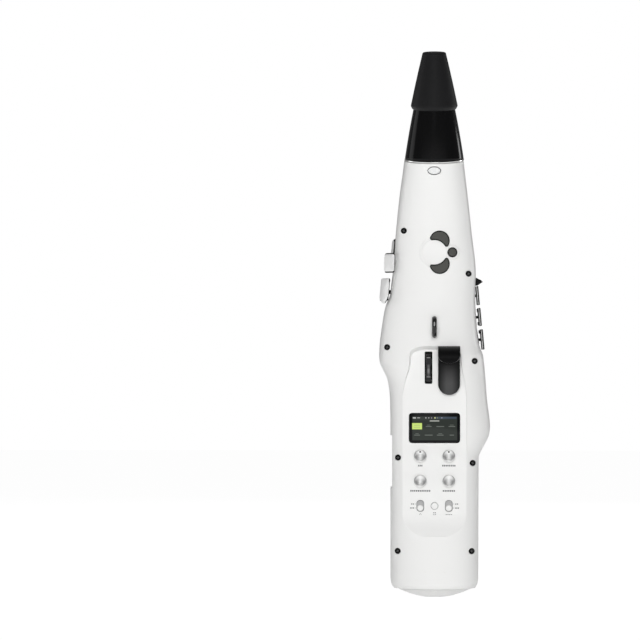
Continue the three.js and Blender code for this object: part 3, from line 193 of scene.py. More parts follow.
ANCHOR_WIDE, ANCHOR_TALL, ANCHOR_DEEP, ANCHOR_SINK = 9.2, 26.8, 2.5, 2.8
SCREWS = [(-32, 384), (35.8, 339), (-49.6, 262), (42.1, 247.5), (-38.2, 146.5), (39.9, 140.8), (-38.6, 48.8),
          (38.7, 48.8)]
BOSS_RADIUS, BOSS_INSET, SCREW_RECESS, SCREW_SEAT, SCREW_FLOOR = 4.8, 0.5, 3.25, 5.0, 2.5
SCREW_WAY, SCREW_WAY_END, SCREW_HEAD, SCREW_THREAD, SCREW_TALL = 1.8, 8.3, 3.12, 1.45, 2.0
PORT_X, PORT_Y, PORT_Z, PORT_SIZE, PORT_WINDOW_X = -44.0, -0.5, 142.25, (25.0, 54.5), -39.5
PORT_THICKNESS, JACK_Y, JACK_Z, JACK_BORE = 2.0, -1.7, 159.0, 3.3
FRONT_KEYS = {"upper_key_1": (2, 382, 9.5), "upper_key_2": (-6, 364, 6.46), "upper_key_3": (2, 346, 9.5),
              "upper_key_4": (3, 322, 9.5), "lower_key_1": (-2, 222, 9.5), "lower_key_2": (-3, 199, 9.5),
              "lower_key_3": (-4, 176, 9.5)}
PINKY_KEYS = {"left_pinky_key_1": (-37, 268), "left_pinky_key_2": (-37, 252), "right_pinky_key_1": (35, 191),
              "right_pinky_key_2": (35, 175)}
# Foot, top, x, y, facing angle, width, lean, pointed foot, taper of the top
PALM_KEYS = {"palm_key_1": (346, 377, -42.4, -2, -75, 10, -6, 0, 3),
             "palm_key_2": (340, 361, -46.6, -17.5, -30, 12.1, -3, 0, 1.2),
             "palm_key_3": (307, 334.7, -51.5, -5.9, -57, 15.1, -6, 6, 1.2)}
SIDE_KEYS = {"side_key_1": (306.5, 326.5, 44.2, 4, 94, 15, -5, 0, 1.2),
             "side_key_2": (284.5, 303.5, 46.4, 4, 94, 15, -5, 0, 1.2),
             "side_key_3": (259.5, 281.0, 49.0, 4, 94, 15, -5, 0, 1.2)}
KEY_THICKNESS, SIDE_TRAVEL, KEY_STANDOFF = 2.4, 1.5, 3.0
# How much lower the two upper palm keys' bright sheets are, a pressed key's least play, feet and stems
KEY_LIP, KEY_PLAY, KEY_FOOT_DEPTH, KEY_FOOT_TALL, STEM_RADIUS, STEM_HOLE = 2.6, 0.35, 1.4, 3.6, 2.2, 2.5
# Thickness of a key's bright sheet and black carrier, then shares of its crown and of its edge's rounding
KEY_SHEETS = {"palm": (0.9, 0.7, 1.0, 1.0), "side": (1.55, 0.3, 0.1, 0.5)}
BRACKET_HALF, BRACKET_DEPTH, PINKY_SIZE, PINKY_CORNER = 4.4, 15.0, (21.0, 13.0), 2.4
WEDGE_Y, WEDGE_Z, WEDGE_HALF, WEDGE_RISE = 4.0, 332.5, 4.15, 4.8
# How far a cutting shape reaches, a corner left sharp, and the least length that is divided by
FAR, SHARP, TINY = 90.0, 0.01, 1e-9


# Surfaces

def smooth_rows(table, share):
    """Columns of a table at any shares of the height: cubic pieces whose slopes never overshoot the rows."""
    x, y = table[:, 0], table[:, 1:]
    step = np.diff(x)[:, None]
    slope = np.diff(y, axis=0) / step
    ends = np.zeros((1, y.shape[1]))
    same = slope[:-1] * slope[1:] > 0
    mean = np.where(same, 2 * slope[:-1] * slope[1:] / np.where(same, slope[:-1] + slope[1:], 1), 0)
    tangent = np.vstack([ends + slope[:1], mean, ends + slope[-1:]])
    share = np.clip(share, x[0], x[-1])
    i = np.clip(np.searchsorted(x, share, side="right") - 1, 0, len(x) - 2)
    t = ((share - x[i]) / np.diff(x)[i])[..., None]
    h = np.diff(x)[i][..., None]
    return ((2 * t**3 - 3 * t**2 + 1) * y[i] + (t**3 - 2 * t**2 + t) * h * tangent[i]
            + (3 * t**2 - 2 * t**3) * y[i + 1] + (t**3 - t**2) * h * tangent[i + 1])


def body_reach(height, offset=0.0):
    """Left and right half width, and middle and half reach in Y, of the body at some heights."""
    share = np.asarray(height, float) / SHELL_HEIGHT
    wide, deep = smooth_rows(OUTLINE, share), smooth_rows(DEPTH, share)
    left, right = wide[..., 0] * HALF_WIDTH + offset, wide[..., 1] * HALF_WIDTH + offset
    rear, front = -deep[..., 0] * HALF_DEPTH - offset, deep[..., 1] * HALF_DEPTH + offset
    return left, right, (rear + front) / 2, (front - rear) / 2


def oval_shares(sides):
    """Shares of the half width and depth round a flattened oval: |cos t|^(2/p) and |sin t|^(2/p), signed."""
    t = np.linspace(0, 2 * np.pi, sides, endpoint=False)
    return [np.sign(wave) * np.abs(wave) ** (2 / SECTION_POWER) for wave in (np.cos(t), np.sin(t))]


def body_surface(heights, sides, offset=0.0):
    """Rings of the flattened oval: x = a times its share across, y = m + b times its share in depth."""
    along, across = oval_shares(sides)
    left, right, middle, reach = (v[:, None] for v in body_reach(heights, offset))
    x = np.where(along < 0, left, right) * along
    return np.stack([x, middle + reach * across, np.broadcast_to(heights[:, None], x.shape)], -1)


def body_y(x, z, front=False):
    """Y of the body's surface over a place: y = m -+ b (1 - |x/a|^p)^(1/p)."""
    left, right, middle, reach = body_reach(z)
    share = np.clip(np.abs(x) / np.where(np.asarray(x) < 0, left, right), 0, 1)
    return middle + (1 if front else -1) * reach * (1 - share**SECTION_POWER) ** (1 / SECTION_POWER)


def face_at(x, z, front=False):
    """Y of the body's surface over one place, as a plain number."""
    return float(body_y(float(x), float(z), front))


def soften(corners, radius, steps=4, closed=True):
    """An outline whose corners are replaced by parabolas that start the radius before each corner."""
    corners = np.asarray(corners, float)
    before, after = np.roll(corners, 1, 0) - corners, np.roll(corners, -1, 0) - corners
    radius = np.broadcast_to(np.asarray(radius, float), len(corners))
    length_in, length_out = np.linalg.norm(before, axis=1), np.linalg.norm(after, axis=1)
    cut = np.minimum(radius, 0.49 * np.minimum(length_in, length_out))[:, None]
    start = corners + before / np.maximum(length_in, TINY)[:, None] * cut
    stop = corners + after / np.maximum(length_out, TINY)[:, None] * cut
    t = np.linspace(0, 1, steps + 1)[None, :, None]
    curve = (1 - t) ** 2 * start[:, None] + 2 * t * (1 - t) * corners[:, None] + t**2 * stop[:, None]
    if not closed:
        curve[0], curve[-1] = corners[0], corners[-1]
    flat = curve.reshape(-1, corners.shape[1])
    keep = np.linalg.norm(flat - np.roll(flat, 1, 0), axis=1) > 1e-6
    return flat[keep]


def inset(outline, amount):
    """A closed outline moved inward along the normals at its points."""
    following = np.roll(outline, -1, 0)
    ahead = following - outline
    ahead /= np.maximum(np.linalg.norm(ahead, axis=1), TINY)[:, None]
    behind = np.roll(ahead, 1, 0)
    normal = np.stack([-(ahead[:, 1] + behind[:, 1]), ahead[:, 0] + behind[:, 0]], 1)
    size = np.sum(normal**2, axis=1)[:, None]
    turn = np.sign(np.sum(outline[:, 0] * following[:, 1] - following[:, 0] * outline[:, 1]))
    return outline + turn * amount * 2 * normal / np.maximum(size, 0.8)


def at_depth(outline, depth):
    """An outline's points at one depth."""
    return np.column_stack([outline, np.full(len(outline), depth)])


def prism(outline, low, high, edge=0.4, steps=3):
    """An outline carried along the third axis, inset by r (1 - sin t) near each end for a round edge."""
    t = np.linspace(0, np.pi / 2, steps + 1)
    depths = np.concatenate([low + edge * (1 - np.cos(t)), high - edge * (1 - np.cos(t[::-1]))])
    insets = np.concatenate([edge * (1 - np.sin(t)), edge * (1 - np.sin(t[::-1]))])
    return np.stack([at_depth(inset(outline, i), d) for d, i in zip(depths, insets)])


def straight(outline, low, high):
    """An outline carried straight between two depths, with sharp ends."""
    return np.stack([at_depth(outline, low), at_depth(outline, high)])


def turned(profile, sides=96, share=1.0):
    """A profile of radius and height turned about Z: x = r cos t, y = share r sin t."""
    t = np.linspace(0, 2 * np.pi, sides, endpoint=False)
    radius, height = np.asarray(profile, float).T[:, :, None]
    x, y = radius * np.cos(t), share * radius * np.sin(t)
    return np.stack([x, y, np.broadcast_to(height, x.shape)], -1)


def turned_rear(profile, x, z, sides, ripple=0.0):
    """A profile of radius and Y turned about a line along Y: x + r cos t, z + r sin t, with a ripple in r."""
    t = np.linspace(0, 2 * np.pi, sides, endpoint=False)
    radius, depth = np.asarray(profile, float).T[:, :, None]
    across, up = x + (radius + ripple) * np.cos(t), z + (radius + ripple) * np.sin(t)
    return np.stack([across, np.broadcast_to(depth, across.shape), up], -1)


def closed(rings):
    """The rings of a closed profile, for make_mesh: the first ring comes again at the end and is merged."""
    return np.concatenate([rings, rings[:1]]), {"ends": False}


def tube(path, radius, across, sides):
    """An oval carried along a path in one plane: p + r n cos t + a b sin t, with b the plane's normal."""
    tangent = np.gradient(path, axis=0)
    tangent /= np.linalg.norm(tangent, axis=1)[:, None]
    plane = np.array([1.0, 0, 0])
    normal = np.cross(plane, tangent)
    t = np.linspace(0, 2 * np.pi, sides, endpoint=False)[None, :, None]
    return path[:, None] + radius * normal[:, None] * np.cos(t) + across * plane * np.sin(t)


def box_outline(x, z, wide, tall, corner, steps=6):
    """A rectangle about a place with soft corners, cut a little longer than a circle's radius would be."""
    corners = np.array([x, z]) + np.array([wide, tall]) / 2 * [(-1, -1), (1, -1), (1, 1), (-1, 1)]
    return soften(corners, corner * 1.3, steps)


def round_outline(x, z, radius_x, radius_z=None, sides=48):
    """An oval about a place: x + a cos t, z + b sin t."""
    t = np.linspace(0, 2 * np.pi, sides, endpoint=False)
    return np.column_stack([x + radius_x * np.cos(t), z + (radius_z or radius_x) * np.sin(t)])


def facing_rear(rings):
    """Rings worked out over (x, z, depth) turned to (x, y, z), with depth along Y."""
    return rings[..., [0, 2, 1]]


def facing_side(rings):
    """Rings worked out over (y, z, depth) turned to (x, y, z), with depth along X."""
    return rings[..., [2, 0, 1]]


def matrix_of(place, angle=0.0, lean=0.0):
    """Place, then turn about Z, then lean about X, in millimetres."""
    turn = Matrix.Rotation(angle, 4, "Z") @ Matrix.Rotation(lean, 4, "X")
    return np.array(Matrix.Translation(place) @ turn)


def moved(points, matrix):
    """Points carried by a 4 x 4 matrix."""
    return points @ matrix[:3, :3].T + matrix[:3, 3]


NECK_FOOT = SHELL_HEIGHT + NECK_RISE
NECK = matrix_of((0, float(body_reach(NECK_FOOT)[2]), NECK_FOOT), 0, NECK_LEAN)


# Meshes

def ring_faces(rows, cols, start, around=True, ends=True):
    """Quads between neighbouring rings of a grid, with a many-sided face on the first and last ring."""
    index = start + np.arange(rows * cols).reshape(rows, cols)
    wide = np.concatenate([index, index[:, :1]], 1) if around else index
    quads = np.stack([wide[:-1, :-1], wide[:-1, 1:], wide[1:, 1:], wide[1:, :-1]], -1).reshape(-1, 4).tolist()
    if ends:
        quads += [index[0][::-1].tolist(), index[-1].tolist()]
    return quads


def in_frame(points):
    """Points in millimetres from the foot, put in the frame's metres."""
    return points * MM + np.array(FOOT)


def add_object(name, data):
    """A new object in the scene's own collection."""
    made = bpy.data.objects.new(name, data)
    bpy.context.scene.collection.objects.link(made)
    return made


def make_mesh(name, parts, outward=True):
    """A mesh object from grids of points in millimetres from the foot, each closed round and at both ends."""
    points, faces, start = [], [], 0
    for part in parts:
        grid, options = part if isinstance(part, tuple) else (part, {})
        faces += ring_faces(grid.shape[0], grid.shape[1], start, **options)
        points.append(grid.reshape(-1, 3))
        start += grid.shape[0] * grid.shape[1]
    mesh = bpy.data.meshes.new(name)
    mesh.from_pydata(in_frame(np.concatenate(points)).tolist(), [], faces)
    finish_mesh(mesh, outward)
    return add_object(name, mesh)


def finish_mesh(mesh, outward=True, sharp=35.0):
    """Merges doubles, turns faces outwards and marks edges past an angle as sharp."""
    work = bmesh.new()
    work.from_mesh(mesh)
    bmesh.ops.remove_doubles(work, verts=work.verts, dist=1e-6)
    bmesh.ops.dissolve_degenerate(work, edges=work.edges, dist=1e-7)
    if outward:
        bmesh.ops.recalc_face_normals(work, faces=work.faces)
    work.to_mesh(mesh)
    work.free()
    mesh.shade_smooth()
    mesh.set_sharp_from_angle(angle=math.radians(sharp))


def hull_of(name, grids):
    """The tight skin round several grids of points."""
    mesh = bpy.data.meshes.new(name)
    mesh.from_pydata(in_frame(np.concatenate([grid.reshape(-1, 3) for grid in grids])).tolist(), [], [])
    work = bmesh.new()
    work.from_mesh(mesh)
    bmesh.ops.convex_hull(work, input=work.verts)
    bmesh.ops.delete(work, geom=[v for v in work.verts if not v.link_faces], context="VERTS")
    work.to_mesh(mesh)
    work.free()
    return add_object(name, mesh)


def bake_modifiers(piece):
    """Turns a piece's modifiers into its mesh."""
    bpy.context.view_layer.update()
    graph = bpy.context.evaluated_depsgraph_get()
    result = bpy.data.meshes.new_from_object(piece.evaluated_get(graph))
    piece.modifiers.clear()
    spent = piece.data
    piece.data = result
    bpy.data.meshes.remove(spent)


def combine(target, other, operation="DIFFERENCE"):
    """Adds, cuts or intersects a mesh with another one, and removes the other."""
    step = target.modifiers.new("step", "BOOLEAN")
    step.operation, step.solver, step.object = operation, "MANIFOLD", other
    bake_modifiers(target)
    bpy.data.objects.remove(other)
    if not len(target.data.polygons):
        raise RuntimeError(f"{target.name} came out empty")
    return target


def cut(target, *parts):
    """Cuts closed grids out of a mesh."""
    return combine(target, make_mesh("cutter", parts))


def join(target, *parts):
    """Adds closed grids to a mesh."""
    return combine(target, make_mesh("joined", parts), "UNION")


def rod(radius, x, z, near, far, sides=48):
    """A rod along Y."""
    return facing_rear(straight(round_outline(x, z, radius, sides=sides), near, far))


def block(x0, x1, y0, y1, z0, z1):
    """A plain block, for cutting."""
    return facing_rear(straight(np.array([(x0, z0), (x1, z0), (x1, z1), (x0, z1)], float), y0, y1))


def rear_hole(outline, far=SEAM_Y):
    """A straight hole from outside the rear face to a depth, by default to the seam."""
    return facing_rear(straight(outline, -FAR, far))


def plate(outline, near, far, edge=0.4):
    """A flat piece with round edges between two depths."""
    return facing_rear(prism(outline, near, far, edge))


def values_of(items, name, width=1, kind=float):
    """One value of every item of a mesh, as an array."""
    values = np.empty(len(items) * width, kind)
    items.foreach_get(name, values)
    return values.reshape(-1, width) if width > 1 else values


def box_of(name):
    """The low and high corner of a frame node, in millimetres from the foot."""
    return [(np.array(corner) - FOOT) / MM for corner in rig.box(name)]


def dress(piece, finish, body="case", slot=None, stands_for=()):
    """Gives a new piece its finish, its body and the frame nodes that it stands for."""
    piece.data.materials.clear()
    piece.data.materials.append(finish)
    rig.ride(piece, body)
    if slot:
        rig.slot(piece, slot)
    if stands_for:
        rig.replaces(piece, *stands_for)
    return piece


def dress_node(name, finish):
    """Gives a frame node a new finish."""
    data = frame["nodes"][name].data
    data.materials.clear()
    data.materials.append(finish)


# Shader nodes and shared effects

def new_group(name, inputs, outputs):
    """An empty shader group: the default of each input, with None for a vector, and the outputs' names."""
    group = bpy.data.node_groups.new(name, "ShaderNodeTree")
    for label, default in inputs.items():
        kind = "NodeSocketVector" if default is None else "NodeSocketFloat"
        socket = group.interface.new_socket(label, in_out="INPUT", socket_type=kind)
        if default is not None:
            socket.default_value = default
    for label in outputs:
        kind = "NodeSocketVector" if label == "Normal" else "NodeSocketFloat"
        group.interface.new_socket(label, in_out="OUTPUT", socket_type=kind)
    return group, group.nodes.new("NodeGroupInput").outputs, group.nodes.new("NodeGroupOutput").inputs


def node(tree, kind, inputs=None, **settings):
    """A node with settings; each input takes a value or another node's socket."""
    made = tree.nodes.new(kind)
    for key, value in settings.items():
        setattr(made, key, value)
    for key, value in (inputs or {}).items():
        if isinstance(value, bpy.types.NodeSocket):
            tree.links.new(value, made.inputs[key])
        else:
            made.inputs[key].default_value = value
    return made


def arithmetic(tree, operation, *values, clamp=False):
    """The output of one Math node."""
    made = node(tree, "ShaderNodeMath", dict(enumerate(values)), operation=operation, use_clamp=clamp)
    return made.outputs[0]


def product(tree, *values, clamp=False):
    """The output of one Math node that multiplies two values."""
    return arithmetic(tree, "MULTIPLY", *values, clamp=clamp)


def ramp(tree, value, low, high, first=0.0, last=1.0):
    """A value's share of the way from low to high, given as a number from first to last."""
    return node(tree, "ShaderNodeMapRange", {"Value": value, "From Min": low, "From Max": high,
                                             "To Min": first, "To Max": last}).outputs[0]


def noise(tree, vector, scale, detail=2.0):
    """The value of a Noise texture."""
    made = node(tree, "ShaderNodeTexNoise", {"Vector": vector, "Scale": scale, "Detail": detail})
    return made.outputs["Fac"]


def object_place(tree):
    """The place on the piece, as one vector."""
    return node(tree, "ShaderNodeTexCoord").outputs["Object"]


def split(tree, vector):
    """The X, Y and Z of a vector."""
    return node(tree, "ShaderNodeSeparateXYZ", {"Vector": vector}).outputs


def mix_colour(tree, mask, first, second):
    """One colour over another by a mask. Each may be a socket or a plain colour."""
    made = node(tree, "ShaderNodeMix", {"Factor": mask, "A": first, "B": second}, data_type="RGBA")
    return made.outputs["Result"]


def grain_group():
    """Moulded grain: two sizes of noise give a fine height and a slow change of roughness."""
    group, begin, end = new_group(
        "Moulded grain", {"Vector": None, "Grain size": 900.0, "Roughness": 0.4, "Roughness change": 0.08},
        ("Height", "Roughness", "Cloud"))
    slow = noise(group, begin["Vector"], 28.0, 4.0)
    change = product(group, arithmetic(group, "SUBTRACT", slow, 0.5), begin["Roughness change"])
    rough = arithmetic(group, "ADD", begin["Roughness"], product(group, change, 2.0), clamp=True)
    group.links.new(noise(group, begin["Vector"], begin["Grain size"]), end["Height"])
    group.links.new(rough, end["Roughness"])
    group.links.new(slow, end["Cloud"])
    return group


def edge_group():
    """Rounded edges: the Bevel normal, and a mask where it leaves the surface's own normal."""
    group, begin, end = new_group("Rounded edge", {"Radius": 0.0005}, ("Normal", "Edge"))
    bevel = node(group, "ShaderNodeBevel", {"Radius": begin["Radius"]}, samples=4)
    own = node(group, "ShaderNodeNewGeometry").outputs["Normal"]
    alike = node(group, "ShaderNodeVectorMath", {0: bevel.outputs["Normal"], 1: own}, operation="DOT_PRODUCT")
    away = arithmetic(group, "SUBTRACT", 1.0, alike.outputs["Value"], clamp=True)
    group.links.new(bevel.outputs["Normal"], end["Normal"])
    group.links.new(product(group, away, 4.0, clamp=True), end["Edge"])
    return group


def scuff_group():
    """Handling marks: stretched noise cut to a few faint streaks, and specks of dust on upward faces."""
    group, begin, end = new_group("Handling marks", {"Vector": None, "Streaks": 0.3, "Dust": 0.2},
                                  ("Streaks", "Dust"))
    stretch = node(group, "ShaderNodeMapping", {"Vector": begin["Vector"], "Scale": (900.0, 240.0, 60.0),
                                                "Rotation": (0.4, 0.2, 0.3)})
    streaks = ramp(group, noise(group, stretch.outputs[0], 1.0, 3.0), 0.6, 0.75)
    specks = ramp(group, noise(group, begin["Vector"], 1500.0), 0.6, 0.8)
    up = split(group, node(group, "ShaderNodeNewGeometry").outputs["Normal"])["Z"]
    upward = arithmetic(group, "ADD", product(group, up, 0.6), 0.2, clamp=True)
    group.links.new(product(group, streaks, begin["Streaks"]), end["Streaks"])
    group.links.new(product(group, product(group, specks, upward), begin["Dust"], clamp=True), end["Dust"])
    return group


def patch_group():
    """A soft-edged rectangle: 1 where both |x - cx| < a and |z - cz| < b, fading over the softness."""
    group, begin, end = new_group(
        "Printed patch", {"Across": 0.0, "Up": 0.0, "Centre across": 0.0, "Centre up": 0.0,
                          "Half width": 0.01, "Half height": 0.01, "Softness": 0.0002}, ("Mask",))
    sides = []
    for axis, centre, half in (("Across", "Centre across", "Half width"), ("Up", "Centre up", "Half height")):
        away = arithmetic(group, "ABSOLUTE", arithmetic(group, "SUBTRACT", begin[axis], begin[centre]))
        inside = arithmetic(group, "SUBTRACT", begin[half], away)
        sides.append(arithmetic(group, "DIVIDE", inside, begin["Softness"], clamp=True))
    group.links.new(product(group, *sides), end["Mask"])
    return group


EFFECTS = {"Moulded grain": grain_group, "Rounded edge": edge_group, "Handling marks": scuff_group,
           "Printed patch": patch_group}
GROUPS = {}


def effect(tree, name, inputs):
    """The outputs of one of the shared effects, placed in a material with its own values."""
    if name not in GROUPS:
        GROUPS[name] = EFFECTS[name]()
    return node(tree, "ShaderNodeGroup", inputs, node_tree=GROUPS[name]).outputs


# Finishes

FINISHES = {}
DUST_COLOUR = (0.55, 0.54, 0.52, 1)


def shade(colour, share):
    """A colour made darker by a share."""
    return tuple(c * share for c in colour)


def grey(level):
    """A colour without hue."""
    return level, level, level


def plain_finish(name, colour, roughness, metal=0.0, grain=900.0, grain_depth=0.00002, change=0.08,
                 edge=0.0005, streaks=0.25, dust=0.1, wear=(0.5, 0.5, 0.5), wear_amount=0.0, coat=0.0,
                 specular=0.5, cloud=0.03, transmission=0.0, ior=1.5):
    """A moulded or plated finish: colour with a slow cloud, grain, rounded edges, handling marks and dust."""
    material = bpy.data.materials.new(name)
    material.use_nodes = True
    tree = material.node_tree
    shader = tree.nodes["Principled BSDF"]
    place = object_place(tree)
    grained = effect(tree, "Moulded grain", {"Vector": place, "Grain size": grain, "Roughness": roughness,
                                             "Roughness change": change})
    marks = effect(tree, "Handling marks", {"Vector": place, "Streaks": streaks, "Dust": dust})
    rounded = effect(tree, "Rounded edge", {"Radius": edge})
    lighter = tuple(min(1.0, c * (1 + cloud)) for c in colour)
    base = mix_colour(tree, grained["Cloud"], (*shade(colour, 1 - cloud), 1), (*lighter, 1))
    worn = mix_colour(tree, product(tree, rounded["Edge"], wear_amount, clamp=True), base, (*wear, 1))
    rough = arithmetic(tree, "ADD", grained["Roughness"], product(tree, marks["Streaks"], 0.3), clamp=True)
    bump = node(tree, "ShaderNodeBump", {"Height": grained["Height"], "Distance": grain_depth,
                                         "Strength": 1.0, "Normal": rounded["Normal"]})
    tree.links.new(mix_colour(tree, marks["Dust"], worn, DUST_COLOUR), shader.inputs["Base Color"])
    tree.links.new(rough, shader.inputs["Roughness"])
    tree.links.new(bump.outputs[0], shader.inputs["Normal"])
    plain = {"Metallic": metal, "Coat Weight": coat, "Coat Roughness": 0.04, "Specular IOR Level": specular,
             "Transmission Weight": transmission, "IOR": ior}
    for key, value in plain.items():
        shader.inputs[key].default_value = value
    return material


def recolour(material, colour):
    """Puts a new colour socket between what a finish already mixes and its shader."""
    tree = material.node_tree
    shader = tree.nodes["Principled BSDF"]
    current = shader.inputs["Base Color"].links[0].from_socket
    tree.links.new(colour(tree, current), shader.inputs["Base Color"])


def add_patches(material, patches, emission=0.0):
    """Prints soft rectangles on a finish: centre, half sizes and softness in millimetres, and a colour."""
    tree = material.node_tree
    place = split(tree, object_place(tree))

    def printed(tree, current):
        glow = (0.0, 0.0, 0.0, 1)
        for x, z, half_x, half_z, soft, colour in patches:
            mask = effect(tree, "Printed patch", {
                "Across": place["X"], "Up": place["Z"], "Centre across": x * MM + FOOT[0],
                "Centre up": z * MM + FOOT[2], "Half width": half_x * MM, "Half height": half_z * MM,
                "Softness": soft * MM})["Mask"]
            current = mix_colour(tree, mask, current, (*shade(colour, 0.15 if emission else 1), 1))
            if emission:
                glow = mix_colour(tree, mask, glow, (*colour, 1))
        if emission:
            shader = tree.nodes["Principled BSDF"]
            tree.links.new(glow, shader.inputs["Emission Color"])
            shader.inputs["Emission Strength"].default_value = emission
        return current

    recolour(material, printed)


def rings_and_painted_sheen(material, x, z, depth=0.000006, period=0.0004):
    """A lathe's rings in the bump, and the sheen they give a face: |dz / r|^1.6, bright above and below."""
    tree = material.node_tree
    place = split(tree, object_place(tree))
    dx = arithmetic(tree, "SUBTRACT", place["X"], x * MM + FOOT[0])
    dz = arithmetic(tree, "SUBTRACT", place["Z"], z * MM + FOOT[2])
    distance = arithmetic(tree, "SQRT", arithmetic(tree, "ADD", product(tree, dx, dx), product(tree, dz, dz)))
    wave = arithmetic(tree, "SINE", product(tree, distance, 2 * math.pi / period))
    normal = tree.nodes["Principled BSDF"].inputs["Normal"]
    grain = normal.links[0].from_socket
    rings = node(tree, "ShaderNodeBump", {"Height": wave, "Distance": depth, "Normal": grain})
    tree.links.new(rings.outputs[0], normal)
    share = arithmetic(tree, "DIVIDE", dz, arithmetic(tree, "MAXIMUM", distance, 0.0001))
    # painted highlight above, below and in the middle; painted shade, greyer, to the left and right
    painted_sheen = arithmetic(tree, "POWER", arithmetic(tree, "ABSOLUTE", share), 1.6)
    painted_highlight = arithmetic(tree, "MAXIMUM", painted_sheen, ramp(tree, distance, 0.0005, 0.0035, 1.0, 0.0))
    recolour(material, lambda t, current: mix_colour(t, painted_highlight, (*grey(0.42), 1), current))


def hook_finish(black):
    """Satin black, dark on the visor and rubbed greyer down the middle of the plate: blended by the place."""
    # lighter edges: partly wear, partly a painted highlight along the visor's rim
    material = plain_finish("hook_satin_black", shade(black, 0.25), 0.34, grain=2200.0, grain_depth=0.000006,
                            edge=0.0006, dust=0.01, specular=0.1, wear=grey(0.09), wear_amount=0.8)
    tree = material.node_tree
    place = split(tree, object_place(tree))
    plate_share = ramp(tree, place["Y"], FOOT[1] + (PANEL_Y - 8) * MM, FOOT[1] + (PANEL_Y - 3) * MM)
    low_share = ramp(tree, place["Z"], FOOT[2] + 250 * MM, FOOT[2] + 224 * MM)
    away = arithmetic(tree, "ABSOLUTE", arithmetic(tree, "SUBTRACT", place["X"], FOOT[0] + HOOK_X * MM))
    # painted light: the middle of the plate lighter grey towards its foot, away from the visor's shade
    painted_light_mask = product(tree, product(tree, plate_share, low_share), ramp(tree, away, 11.5 * MM, 3.0 * MM))
    recolour(material, lambda t, current: mix_colour(t, painted_light_mask, current, (0.15, 0.15, 0.151, 1)))
    return material


def rocker_finish(black):
    """Gloss black rubbed grey where the thumb rolls it: a line on each ridge and a patch in the saddle."""
    material = plain_finish("rocker_black", shade(black, 0.9), 0.22, grain=1500.0, grain_depth=0.000003,
                            edge=0.0005, dust=0.01, specular=0.3, wear=grey(0.06), wear_amount=0.7)
    # painted highlights: a line along each ridge, a soft patch and a lighter middle in the saddle
    add_patches(material, [(ROCKER_X, ROCKER_Z + 10.4, 2.1, 0.6, 0.4, grey(0.26)),
                           (ROCKER_X, ROCKER_Z - 9.6, 2.1, 0.6, 0.4, grey(0.26)),
                           (ROCKER_X, ROCKER_Z - 3.0, 2.2, 7.0, 2.0, grey(0.09)),
                           (ROCKER_X, ROCKER_Z - 3.6, 1.8, 3.4, 2.4, grey(0.3))])
    return material


def ring_finish():
    """Black plated steel, rubbed bright along the outside of the bow where the strap's clip hangs."""
    material = plain_finish("dark_plated_steel", grey(0.008), 0.14, grain_depth=0.000002, change=0.06,
                            edge=0.0004, streaks=0.3, dust=0.02, wear=grey(0.1), wear_amount=0.3)
    # painted highlight: a bright streak on the outside of the bow, a little above its middle
    add_patches(material, [(0.0, STRAP_Z + 2.7, 0.75, 2.6, 1.0, grey(0.75))])
    return material


def circuit_finish():
    """A circuit board: green mask, copper tracks from a brick pattern, tinned pads from cells."""
    material = plain_finish("circuit_board", (0.02, 0.16, 0.07), 0.42, coat=0.3)
    tree = material.node_tree
    place = object_place(tree)
    turn = node(tree, "ShaderNodeMapping", {"Vector": place, "Rotation": (math.pi / 2, 0, 0)})
    tracks = node(tree, "ShaderNodeTexBrick", {"Vector": turn.outputs[0], "Scale": 160.0, "Mortar Size": 0.06,
                                               "Brick Width": 1.7, "Row Height": 0.35})
    cells = node(tree, "ShaderNodeTexVoronoi", {"Vector": place, "Scale": 220.0})
    pads = ramp(tree, cells.outputs["Distance"], 0.22, 0.18)

    def printed(tree, current):
        tracked = mix_colour(tree, tracks.outputs["Fac"], current, (0.05, 0.3, 0.12, 1))
        return mix_colour(tree, pads, tracked, (0.55, 0.52, 0.45, 1))

    recolour(material, printed)
    return material


def screen_finish():
    """The window with a generic menu behind it: a grid of tiles, one lit, a status strip and plain bars."""
    material = plain_finish("screen_window", (0.004, 0.0045, 0.005), 0.07, edge=0.0004, streaks=0.1,
                            dust=0.015, specular=0.15, cloud=0.0)
    first_x, step_x, step_z, strip = -18.2, 12.1, 9.0, GLASS_Z + 10.6
    patches = [(0.2, GLASS_Z - 0.4, 23.6, 12.6, 0.4, (0.036, 0.042, 0.037)),
               (12.0, strip, 11.6, 1.5, 1.2, (0.06, 0.085, 0.12)),
               (first_x, GLASS_Z + 1.9, 5.4, 3.5, 0.5, (0.66, 0.86, 0.22)),
               (first_x, GLASS_Z + 2.9, 3.3, 0.45, 0.4, (0.42, 0.52, 0.25)),
               (first_x, GLASS_Z + 0.8, 3.5, 0.45, 0.4, (0.40, 0.50, 0.24)),
               (0.0, GLASS_Z + 7.4, 5.2, 0.75, 0.5, (0.50, 0.52, 0.48))]
    patches += [(x, strip, half_x, half_z, soft, colour) for x, half_x, half_z, soft, colour in (
        (-21.0, 1.8, 0.9, 0.4, (0.55, 0.56, 0.54)), (-16.6, 1.7, 0.5, 0.4, (0.60, 0.60, 0.58)),
        (-9.0, 0.7, 0.8, 0.4, (0.50, 0.50, 0.52)), (-6.0, 0.8, 0.6, 0.4, (0.50, 0.50, 0.50)),
        (-3.0, 0.6, 0.9, 0.4, (0.32, 0.30, 0.36)), (0.5, 0.9, 0.9, 0.4, (0.60, 0.62, 0.30)),
        (3.0, 0.5, 0.8, 0.4, (0.30, 0.32, 0.10)), (7.6, 0.9, 0.7, 0.5, (0.34, 0.34, 0.42)))]
    for column in range(4):
        for row in range(2):
            if row == 0 and column == 0:
                continue
            x, z = first_x + step_x * column, GLASS_Z + 1.6 - step_z * row
            wide = (2.6, 3.4, 4.4, 3.8)[(column + row) % 4]
            patches.append((x, z, wide, 0.65, 0.7, (0.2, 0.22, 0.2)))
            if (column + row) % 2:
                patches.append((x, z + 1.5, wide * 0.6, 0.5, 0.6, (0.19, 0.21, 0.19)))
    add_patches(material, patches, emission=0.75)
    return material


